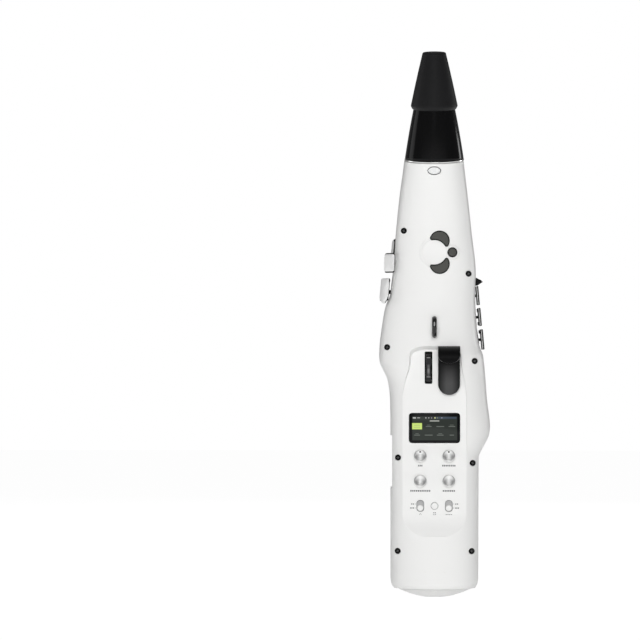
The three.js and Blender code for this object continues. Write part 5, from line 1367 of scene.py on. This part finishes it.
def build_rocker(settings):
    """The bend rocker: a saddle with two raised ends, its side outline inset towards both flanks."""
    place = np.linspace(-1, 1, 41)
    inner = np.clip(np.abs(place) / ROCKER_PEAK, 0, 1)
    outer = np.clip(np.abs(place) - ROCKER_PEAK, 0, 1) / (1 - ROCKER_PEAK)
    rise = (ROCKER_RISE - ROCKER_WAIST) * (1 - np.cos(np.pi * inner)) / 2 - ROCKER_RISE / 2 * outer**2
    saddle = np.column_stack([PANEL_Y - ROCKER_WAIST / 2 - rise, ROCKER_HALF * place])
    outline = np.concatenate([saddle, [(ROCKER_PIVOT_Y, ROCKER_HALF), (ROCKER_PIVOT_Y + ROCKER_WAIST, 0.0),
                                       (ROCKER_PIVOT_Y, -ROCKER_HALF)]])
    left, right = ROCKER_X - ROCKER_WIDE / 2, ROCKER_X + ROCKER_WIDE / 2
    rings = facing_side(prism(outline, left, right, settings.control.rocker_edge / MM, 4))
    piece = make_mesh("bend_rocker_saddle", [rings + np.array([0, 0, ROCKER_Z])])
    dress(piece, FINISHES["rocker"], "bend_rocker", "black_gloss", ["bend_rocker"])
    outline = box_outline(ROCKER_X, ROCKER_Z, WELL_WIDE, WELL_TALL, WELL_WALL)
    inside = box_outline(ROCKER_X, ROCKER_Z, WELL_WIDE - 2 * WELL_WALL, WELL_TALL - 2 * WELL_WALL, 0.5)
    well = make_mesh("rocker_well", [plate(outline, PANEL_Y - GAP, WELL_FLOOR_Y + WELL_WALL, 0.35)])
    cut(well, plate(inside, -40, WELL_FLOOR_Y, 0.01))
    finish_mesh(well.data, False, 30)
    dress(well, FINISHES["black_gloss"], "case", "black_gloss", ["rocker_frame"])


def build_knobs(settings):
    """Four turned knobs: toothed side, dished face with tool rings, and a pointer on the upper two."""
    control = settings.control
    radius, height = control.knob_radius / MM, control.knob_height / MM
    foot = PANEL_Y - GAP
    face = foot - height
    profile = np.array([(KNOB_BORE, face + 1.9), (KNOB_BORE, foot), (radius - 0.35, foot),
                        (radius - 0.05, foot - 0.3), (radius - 0.05, face + 0.75),
                        (radius - 0.2, face + 0.4), (radius - 0.55, face + 0.1), (radius - 0.9, face),
                        (radius - 1.2, face + 0.02), (radius - 1.45, face + 0.22), (2.0, face + 0.42),
                        (SHARP, face + 0.5)])
    sides, tooth_depth = 4 * control.knob_teeth, 0.09
    wave = np.cos(control.knob_teeth * np.linspace(0, 2 * np.pi, sides, endpoint=False))
    toothed = np.zeros((len(profile), 1))
    toothed[3:5] = tooth_depth
    ripple = toothed * np.sign(wave) * np.abs(wave) ** 0.5
    upper, lower = KNOB_ROWS
    for name, x, z in (("upper_left_knob", -KNOB_X, upper), ("upper_right_knob", KNOB_X, upper),
                       ("lower_left_knob", -KNOB_X, lower), ("lower_right_knob", KNOB_X, lower)):
        piece = make_mesh(name + "_turned", [turned_rear(profile, x, z, sides, ripple)])
        finish = FINISHES["aluminium"].copy()
        finish.name = name + "_aluminium"
        # tool rings in the bump, and a painted highlight and shade in the colour
        rings_and_painted_sheen(finish, x, z)
        dress(piece, finish, name, "knob", [name])
        if z == upper:
            dot = plate(round_outline(x, z + radius - 2.2, 0.95, sides=28), face + 0.15, face + 0.55, 0.08)
            dress(make_mesh(name + "_pointer", [dot]), FINISHES["deep_black"], name, "black_matt")


def build_switches(settings):
    """Round switch heads with a shallow dish, their slots' liners and trims, and the small push button."""
    floor, face = PANEL_Y + WALL, PANEL_Y - SWITCH_PROUD
    for name, x, z, radius in (("left_slide_switch", -KNOB_X, SWITCH_Z - SWITCH_DROP, SWITCH_RADIUS),
                               ("right_slide_switch", KNOB_X, SWITCH_Z - SWITCH_DROP, SWITCH_RADIUS),
                               ("push_button", 0.0, SWITCH_Z, BUTTON_RADIUS)):
        profile = [(SHARP, floor), (radius - 0.1, floor), (radius, floor - 0.2), (radius, face + 0.5),
                   (radius - 0.15, face + 0.18), (radius - 0.5, face), (radius - 1.0, face + 0.08),
                   (SHARP, face + 0.3)]
        piece = make_mesh(name + "_head", [turned_rear(profile, x, z, 64)])
        dress(piece, FINISHES["white"], name, "white_shell", [name])
        if name == "push_button":
            outline = round_outline(x, z, BUTTON_HOLE)
        else:
            outline = box_outline(x, SWITCH_Z, SLOT_WIDE, SLOT_TALL, SLOT_CORNER, 10)
            liner = plate(inset(outline, 0.05), PANEL_Y + 2.75, PANEL_Y + 3.05, 0.05)
            dress(make_mesh(name + "_liner", [liner]), FINISHES["slot_grey"], "case", "black_matt")
        edge = trim_ring(name + "_trim", inset(outline, -0.05), 0.22, panel_y, 0.02)
        dress(edge, FINISHES["trim_grey"], "case", "black_matt")


def cross_arms(x, z, angle, near, far, long, thin):
    """Two crossed blocks, turned about a line along Y."""
    turn = np.array(Matrix.Translation((x, 0, z)) @ Matrix.Rotation(angle, 4, "Y"))
    return [moved(block(-a, a, near, far, -b, b), turn) for a, b in ((long, thin), (thin, long))]


def build_screws(settings):
    """Eight pan-head screws at the bottom of their recesses, each with a bare cross cut in its head."""
    head, thread = SCREW_HEAD, SCREW_THREAD
    for number, (x, z) in enumerate(SCREWS, 1):
        name, angle = f"case_screw_{number}", 0.6 * number
        low, high = box_of(name)
        near, far, neck = low[1], high[1], low[1] + SCREW_TALL
        profile = [(SHARP, near), (head * 0.45, near + 0.06), (head * 0.75, near + 0.25),
                   (head * 0.94, near + 0.6), (head, near + 1.0), (head, neck), (thread, neck + 0.05),
                   (thread, far - 0.5), (thread * 0.6, far), (SHARP, far)]
        piece = make_mesh(name + "_pan_head", [turned_rear(profile, x, z, 40)])
        for arm in cross_arms(x, z, angle, near - 1, near + 1.1, 1.5, 0.28):
            cut(piece, arm)
        finish_mesh(piece.data, False, 30)
        dress(piece, FINISHES["screw"], "case", "dark_steel", [name])
        first, second = cross_arms(x, z, angle, near + 0.7, near + 1.08, 1.45, 0.25)
        bright = join(make_mesh(f"screw_{number}_cross", [first]), second)
        finish_mesh(bright.data, False, 30)
        dress(bright, FINISHES["bare_steel"], "case", "dark_steel")


def build_print(settings):
    """Plain marks printed on the panel: short bars under the knobs and beside the switches, no letters."""
    upper, lower, far, near = KNOB_ROWS[0] - 10.2, KNOB_ROWS[1] - 10.4, SWITCH_Z + 2.0, SWITCH_Z - 2.2
    marks = [(-KNOB_X, upper, 5.0, 1.7), (KNOB_X, upper, 14.4, 1.7), (-KNOB_X, lower, 21.4, 1.7),
             (KNOB_X, lower, 13.2, 1.7), (KNOB_X, SWITCH_Z - 9.3, 7.2, 1.3), (0.0, SWITCH_Z - 7.2, 3.4, 0.9),
             (0.0, SWITCH_Z - 9.3, 3.4, 1.1)]
    for turn in (-1, 1):
        marks += [(turn * (KNOB_X + 8.1), far, 3.6, 1.1), (turn * (KNOB_X + 8.6), near, 4.6, 1.1),
                  (turn * (KNOB_X + 5.0), far, 1.5, 0.35), (turn * (KNOB_X + 5.0), near, 1.5, 0.35)]
    face, back, letter, ink_share = PANEL_Y - 0.03, PANEL_Y + 0.05, 1.9, 0.74
    bars = []
    for x, z, wide, tall in marks:
        pieces = max(1, round(wide / letter))
        step = wide / pieces
        width = step * (ink_share if pieces > 1 else 1.0)
        for i in range(pieces):
            bar = box_outline(x - wide / 2 + step * (i + 0.5), z, width, tall, 0.2, 2)
            bars.append(facing_rear(prism(bar, face, back, 0.005, 1)))
    ring = [(1.15, back), (1.15, face), (0.75, face), (0.75, back)]
    bars.append(closed(turned_rear(ring, -KNOB_X, SWITCH_Z - 9.1, 24)))
    dress(make_mesh("panel_marks", bars), FINISHES["ink"], "case", "black_matt")


def build_screen(settings):
    """The screen window: a plate with soft corners and a ground edge, its menu printed behind the face."""
    outline = box_outline(0, GLASS_Z, *GLASS_SIZE, GLASS_CORNER, 8)
    piece = make_mesh("screen_window", [plate(outline, PANEL_Y - GAP, PANEL_Y + WALL, 0.3)])
    dress(piece, FINISHES["screen"], "case", "screen", ["screen_glass"])


def build_ports(settings):
    """The port panel with its sockets cut through, a groove and a small dot, and the jack's collar."""
    outline = box_outline(PORT_Y, PORT_Z, PORT_SIZE[0] - 2 * GAP, PORT_SIZE[1] - 2 * GAP, 0.8)
    rings = facing_side(prism(outline, PORT_X, PORT_X + PORT_THICKNESS, 0.35))
    panel = make_mesh("port_panel_plate", [rings])
    through, shallow = -30.0, PORT_X + 0.4
    for hole, depth in ((round_outline(JACK_Y, JACK_Z, 6.0), through),
                        (box_outline(-8.9, 130, 3.4, 10.5, 1.4), through),
                        (box_outline(2.6, 132.7, 3.4, 5.7, 1.4), through),
                        (box_outline(JACK_Y, 137, 0.5, 26, 0.1), shallow),
                        (round_outline(-8.9, 120, 0.55, sides=16), shallow)):
        cut(panel, facing_side(straight(hole, -50, depth)))
    finish_mesh(panel.data, False, 30)
    dress(panel, FINISHES["port_grey"], "case", "port_grey", ["port_panel"])
    back = PORT_X + 16
    profile = [(JACK_BORE, PORT_X + 14), (JACK_BORE, PORT_X), (3.6, PORT_X - 0.25), (4.1, PORT_X - 0.3),
               (5.2, PORT_X - 0.3), (5.55, PORT_X - 0.15), (5.7, PORT_X + 0.2), (5.7, PORT_X + 2.3),
               (7.0, PORT_X + 2.4), (7.0, back), (JACK_BORE, back)]
    collar = turned_rear(profile, JACK_Y, JACK_Z, 72)[..., [1, 0, 2]]
    jack = make_mesh("phones_jack_collar", [closed(collar)])
    dress(jack, FINISHES["black_gloss"], "case", "black_gloss", ["phones_jack"])


# Keys

def key_outline(width, tall, point, taper):
    """A key's face: straight flanks, tapered top and a plain or pointed foot, with soft corners."""
    half, foot, top = width / 2, -tall / 2, tall / 2
    corners = [(-half, foot + point), (0, foot), (half, foot + point), (half, top - taper),
               (half - taper, top), (-half + taper, top), (-half, top - taper)]
    radii = [2.2, 3.5 if point else 0.1, 2.2, taper, taper, taper, taper]
    return soften(corners, radii, 5)


def crowned_key(outline, thick, crown, edge, layers=6):
    """A face plate: rings inset over a round rim, then shrinking to its middle as the face rises: 1 - s^2."""
    centre = (outline.max(0) + outline.min(0)) / 2
    rings = [at_depth(outline, 0.0)]
    for t in np.linspace(0, np.pi / 2, 5):
        rings.append(at_depth(inset(outline, edge * (1 - np.cos(t))), -thick + edge * (1 - np.sin(t))))
    last = inset(outline, edge)
    for share in np.linspace(1, 0, layers + 1)[1:]:
        rings.append(at_depth(centre + (last - centre) * share, -thick - crown * (1 - share**2)))
    return facing_rear(np.stack(rings))


def paint_shade_on_rims(piece, outward, finish, limit):
    """Puts a second finish on the faces that turn away from a direction."""
    mesh = piece.data
    mesh.materials.append(finish)
    shaded_rim_faces = values_of(mesh.polygon_normals, "vector", 3) @ outward < limit
    mesh.polygons.foreach_set("material_index", shaded_rim_faces.astype(np.int32))


def tree_of(name):
    """A search tree over a CAD node's faces, in the frame's metres."""
    part = frame["nodes"][name]
    points = moved(values_of(part.data.vertices, "co", 3), np.array(part.matrix_world))
    corners = values_of(part.data.loops, "vertex_index", kind=np.int32)
    starts = values_of(part.data.polygons, "loop_start", kind=np.int32)
    faces = [face.tolist() for face in np.split(corners, starts[1:])]
    return BVHTree.FromPolygons(points.tolist(), faces)


def room_under(outline, matrix, trees):
    """The shortest way inwards from an outline's corners and sides to the given trees, in millimetres."""
    middle = outline.mean(0)
    sides = (outline + np.roll(outline, 1, 0)) / 2
    spots = np.concatenate([outline, sides, (outline + middle) / 2, [middle]])
    spots = in_frame(moved(np.column_stack([spots[:, 0], np.zeros(len(spots)), spots[:, 1]]), matrix))
    inwards = Vector(matrix[:3, 1]).normalized()
    ways = [tree.ray_cast(Vector(spot), inwards, 0.02)[3] for tree in trees for spot in spots]
    return min([way / MM for way in ways if way is not None], default=20.0)


def key_carrier(name, row, outline, sheet, under, matrix, trees):
    """A key's black carrier: a thin plate with its stem and the end feet that fit the room under it."""
    tall, width, point = row[1] - row[0], row[5], row[7]
    stem_radius, stem_end = (STEM_RADIUS, 7.5) if name in PALM_KEYS else (1.5, 8.0)
    rings = plate(inset(outline, 0.1), -under, 0.0, min(0.2, under / 3))
    base = make_mesh(name + "_carrier", [moved(rings, matrix)])
    join(base, moved(rod(stem_radius, 0, 0, -0.5, stem_end, 24), matrix))
    for end in (-1, 1):
        reach = end * (tall / 2 - 2.6 - (point * 0.6 if end < 0 else 0))
        foot = box_outline(0, reach, width * 0.72, KEY_FOOT_TALL, 0.8)
        deep = min(KEY_FOOT_DEPTH, room_under(foot, matrix, trees) - SIDE_TRAVEL - KEY_PLAY)
        if name == "palm_key_3":
            stop = box_outline(0, reach, width * 0.99 + 0.1, KEY_FOOT_TALL + 0.8, 0.8)
            join(base, moved(plate(stop, sheet - KEY_THICKNESS, -0.2, 0.15), matrix))
        if deep > KEY_PLAY:
            join(base, moved(plate(foot, -0.5 * under, deep, 0.15), matrix))
    finish_mesh(base.data, False, 35)
    return base


def build_side_keys(settings):
    """Palm and side keys: a bright crowned sheet and its layer over a black carrier with its stem."""
    crown_size, edge = settings.key.crown / MM, settings.key.edge_radius / MM
    cases = [tree_of("rear_shell"), tree_of("front_shell")]
    guides = {"palm": tree_of("palm_key_bracket"), "side": tree_of("side_key_bracket")}
    for name, row in {**PALM_KEYS, **SIDE_KEYS}.items():
        foot, top, _, _, _, width, _, point, taper = row
        kind, matrix, tall = name[:4], key_matrix(row), top - foot
        outline = key_outline(width, tall, point, taper)
        shown = outline * np.array([1, 1 - KEY_LIP / tall if name in ("palm_key_1", "palm_key_2") else 1])
        sheet, under, crown, radius = KEY_SHEETS[kind]
        back = sheet - KEY_THICKNESS
        layer = make_mesh(name + "_layer", [moved(plate(inset(shown, 0.15), back, -under, 0.1), matrix)])
        layer_finish = FINISHES["satin_black" if name == "palm_key_1" else "key_chrome"]
        dress(layer, layer_finish, name, "key_chrome")
        face = crowned_key(shown, sheet, crown_size * crown, edge * radius) + np.array([0, back, 0])
        piece = make_mesh(name + "_plate", [moved(face, matrix)])
        dress(piece, FINISHES["key_chrome"], name, "key_chrome")
        # painted shade: the faces of the rim that turn away from the key's outer face are dark grey
        if kind == "side" or name == "palm_key_1":
            paint_shade_on_rims(piece, -matrix[:3, 1], FINISHES["rim_painted_shade"], 0.93)
        base = key_carrier(name, row, outline, sheet, under, matrix, [*cases, guides[kind]])
        dress(base, FINISHES["satin_black"], name, "black_matt", [name])
    wedge = soften([(41.5, 327.4), (45.6, 327.2), (47.8, 329.0), (51.2, 331.2), (46.7, 333.6), (44.4, 334.4),
                    (41.5, 333.9)], [0.4, 1.6, 1.2, 0.5, 2.5, 1.5, 0.4], 5)
    piece = make_mesh("side_key_wedge", [plate(wedge, WEDGE_Y - WEDGE_HALF, WEDGE_Y + WEDGE_HALF, 0.6)])
    dress(piece, FINISHES["satin_black"], "case", "black_matt")


def build_finger_keys(settings):
    """Finger keys: a plated cup with a pearl inlay on a stem."""
    for name, (x, z, radius) in FRONT_KEYS.items():
        foot, stem_low = face_at(x, z, front=True) + KEY_STANDOFF, box_of(name)[0][1]
        cup = soften([(SHARP, 0.0), (radius * 0.8, 0.0), (radius, 1.6), (radius, 3.6), (radius - 0.7, 4.0),
                      (radius - 1.2, 3.4), (SHARP, 3.0)], [0.01, 0.8, 0.8, 0.35, 0.3, 0.2, 0.01],
                     closed=False)
        pearl = soften([(SHARP, 3.02), (radius - 1.35, 3.42), (radius - 1.35, 3.7), (SHARP, 3.15)],
                       [0.01, 0.05, 0.3, 0.01], closed=False)
        place = np.array([x, foot, z])
        piece = make_mesh(name + "_cup", [facing_rear(turned(cup, 72)) + place])
        join(piece, rod(STEM_RADIUS, x, z, stem_low, foot + 1.2, 24))
        finish_mesh(piece.data, False, 35)
        dress(piece, FINISHES["chrome"], name, "key_chrome", [name])
        inlay = make_mesh(name + "_pearl", [facing_rear(turned(pearl, 64)) + place])
        dress(inlay, FINISHES["pearl"], name, "lens")


def build_front_keys(settings):
    """The finger keys, and the little-finger keys: crowned plated paddles on stems."""
    build_finger_keys(settings)
    for name, (x, z) in PINKY_KEYS.items():
        (_, stem_low, _), (_, top, _) = box_of(name)
        back = top - KEY_THICKNESS
        paddle = crowned_key(box_outline(0, 0, *PINKY_SIZE, PINKY_CORNER), KEY_THICKNESS - 0.5, 0.5, 0.6)
        piece = make_mesh(name + "_paddle", [paddle * np.array([1, -1, 1]) + np.array([x, back, z])])
        join(piece, rod(STEM_RADIUS, x, z, stem_low, back + 0.8, 24))
        finish_mesh(piece.data, False, 35)
        dress(piece, FINISHES["chrome"], name, "key_chrome", [name])


# Stage

def build_floor():
    """A pale floor under the instrument: matt for the light, and nearly white for the camera."""
    low, far = float(cad_low.z) - 0.0004, 6.0
    mesh = bpy.data.meshes.new("floor")
    corners = [(-far, -far, low), (far, -far, low), (far, far, low), (-far, far, low)]
    mesh.from_pydata(corners, [], [(0, 1, 2, 3)])
    floor = add_object("floor", mesh)
    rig.stage(floor)
    material = bpy.data.materials.new("pale_floor")
    material.use_nodes = True
    tree = material.node_tree
    tree.nodes.clear()
    matt = node(tree, "ShaderNodeBsdfDiffuse", {"Color": (0.9, 0.9, 0.9, 1)})
    white = node(tree, "ShaderNodeEmission", {"Color": (1, 1, 1, 1), "Strength": 1.1})
    path = node(tree, "ShaderNodeLightPath").outputs
    through = arithmetic(tree, "MAXIMUM", path["Is Glossy Ray"], path["Is Transmission Ray"])
    seen = arithmetic(tree, "MAXIMUM", path["Is Camera Ray"], through)
    share = arithmetic(tree, "MULTIPLY_ADD", seen, 0.62, 0.26)
    mixed = node(tree, "ShaderNodeMixShader", {0: share, 1: matt.outputs[0], 2: white.outputs[0]})
    node(tree, "ShaderNodeOutputMaterial", {"Surface": mixed.outputs[0]})
    mesh.materials.append(material)


def build_world(stage):
    """The even light, white to the camera, and the room in reflections: brighter above than below."""
    world = bpy.data.worlds.new("even_light")
    bpy.context.scene.world = world
    world.use_nodes = True
    tree = world.node_tree
    tree.nodes.clear()
    path = node(tree, "ShaderNodeLightPath").outputs
    seen = arithmetic(tree, "MAXIMUM", path["Is Camera Ray"], path["Is Transmission Ray"])
    up = split(tree, node(tree, "ShaderNodeTexCoord").outputs["Generated"])["Z"]
    level = ramp(tree, up, -0.6, 0.9, 0.6, 1.0)
    dim, mirrored = (product(tree, level, light) for light in (stage.world_light, stage.mirror_light))
    reflected = node(tree, "ShaderNodeMix", {"Factor": path["Is Glossy Ray"], "A": dim, "B": mirrored},
                     data_type="FLOAT")
    strength = node(tree, "ShaderNodeMix", {"Factor": seen, "A": reflected.outputs[0], "B": 1.0},
                    data_type="FLOAT")
    back = node(tree, "ShaderNodeBackground", {"Color": (1, 1, 1, 1), "Strength": strength.outputs[0]})
    node(tree, "ShaderNodeOutputWorld", {"Surface": back.outputs[0]})


def aim(made, place, target):
    """Puts a lamp or the camera at a place and points it at a target."""
    made.location = place
    made.rotation_euler = (Vector(target) - Vector(place)).to_track_quat("-Z", "Y").to_euler()


def build_stage(settings):
    """Pale floor, even light, the soft lamps and the camera at the photograph's angle."""
    stage, scene = settings.stage, bpy.context.scene
    scene.view_settings.view_transform = "Standard"
    build_floor()
    build_world(stage)
    # Name, place, height of its aim, share of the main lamp's power, size and whether reflections show it
    for name, place, height, share, size, mirrored in (
            ("key_lamp", (-0.05, -3.4, 0.55), 0, 1.0, 1.5, False),
            ("high_lamp", (0.15, -2.4, 2.2), 0, 0.1, 0.8, True),
            ("front_lamp", (0.0, -3.7, 0.8), 0, 0.06, 1.0, True),
            ("left_lamp", (-2.2, 0.35, 0.3), 0, 0.055, 1.0, True),
            ("right_lamp", (1.7, 1.0, 0.25), 0, 0.05, 0.45, True),
            ("foot_lamp", (0.0, -2.0, -0.2), -0.25, 0.07, 0.4, False),
            ("back_lamp", (0.3, 1.8, 0.9), 0, 0.2, 1.4, False)):
        lamp = bpy.data.lights.new(name, "AREA")
        lamp.energy, lamp.size = stage.key_light * share, size
        made = add_object(name, lamp)
        made.visible_glossy = mirrored
        aim(made, place, (0, 0, height))
    camera = bpy.data.cameras.new("camera")
    camera.sensor_width = 36.0
    camera.lens = camera.sensor_width * stage.distance / stage.picture_width
    camera.clip_start, camera.clip_end = 0.05, 50
    target = Vector((FOOT[0] - stage.aside, FOOT[1], FOOT[2] + stage.middle_height))
    away = stage.distance * math.cos(stage.elevation), stage.distance * math.sin(stage.elevation)
    scene.camera = add_object("camera", camera)
    aim(scene.camera, (FOOT[0], FOOT[1] - away[0], target.z + away[1]), target)


# Operators and panel

def operator_class(idname, label, text, build):
    """An operator that runs one of the builders on the scene's settings."""
    def execute(self, context):
        build(context.scene.wind_controller)
        return {"FINISHED"}
    return type("WINDCTL_OT_" + idname, (bpy.types.Operator,),
                {"bl_idname": "wind_controller." + idname, "bl_label": label, "__doc__": text,
                 "execute": execute})


OPERATORS = [
    operator_class("finishes", "Finishes", "Makes every finish and puts it on the frame's nodes",
                   build_finishes),
    operator_class("shells", "Shells", "Makes the rear and front shell", build_shells),
    operator_class("bottom", "Bottom cap", "Makes the bottom cap", build_bottom),
    operator_class("neck", "Neck", "Makes the ring, the barrel and the mouthpiece cap", build_neck),
    operator_class("pads", "Touch pads", "Makes the touch pads and the status lens", build_pads),
    operator_class("strap_ring", "Strap ring", "Makes the strap ring", build_strap_ring),
    operator_class("thumb_hook", "Thumb hook", "Makes the thumb hook", build_thumb_hook),
    operator_class("rocker", "Bend rocker", "Makes the bend rocker and its frame", build_rocker),
    operator_class("screen", "Screen", "Makes the screen window", build_screen),
    operator_class("knobs", "Knobs", "Makes the four knobs", build_knobs),
    operator_class("switches", "Switches", "Makes the slide switches and the push button", build_switches),
    operator_class("screws", "Case screws", "Makes the eight case screws", build_screws),
    operator_class("marks", "Printed marks", "Makes the plain marks on the panel", build_print),
    operator_class("ports", "Ports", "Makes the port panel and the phones jack", build_ports),
    operator_class("side_keys", "Palm and side keys", "Makes the palm and side keys", build_side_keys),
    operator_class("front_keys", "Front keys", "Makes the finger and little-finger keys", build_front_keys),
    operator_class("stage", "Stage", "Makes the floor, the light and the camera", build_stage),
]


class WINDCTL_PT_panel(bpy.types.Panel):
    """Lists the settings and the pieces of the instrument"""
    bl_label = "Wind controller"
    bl_idname = "WINDCTL_PT_panel"
    bl_space_type = "VIEW_3D"
    bl_region_type = "UI"
    bl_category = "Wind controller"

    def draw(self, context):
        """Draws each settings group, then a button for each operator."""
        settings = context.scene.wind_controller
        for group in (settings.shell, settings.neck, settings.control, settings.key, settings.stage):
            column = self.layout.box().column()
            for name in group.__annotations__:
                column.prop(group, name)
        for operator in OPERATORS:
            self.layout.operator(operator.bl_idname)


CLASSES = [ShellSettings, NeckSettings, ControlSettings, KeySettings, StageSettings, InstrumentSettings,
           *OPERATORS, WINDCTL_PT_panel]


def register():
    """Registers the classes and the scene's settings."""
    for cls in CLASSES:
        bpy.utils.register_class(cls)
    bpy.types.Scene.wind_controller = bpy.props.PointerProperty(type=InstrumentSettings)


def unregister():
    """Removes the scene's settings and the classes."""
    del bpy.types.Scene.wind_controller
    for cls in reversed(CLASSES):
        bpy.utils.unregister_class(cls)


def main():
    """Builds the instrument and its stage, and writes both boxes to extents.json."""
    register()
    for operator in OPERATORS:
        group, name = operator.bl_idname.split(".")
        getattr(getattr(bpy.ops, group), name)()
    low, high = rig.bounds()
    with open("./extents.json", "w") as file:
        json.dump({"cad": [list(cad_low), list(cad_high)], "visual": [list(low), list(high)]}, file)


if __name__ == "__main__":
    main()
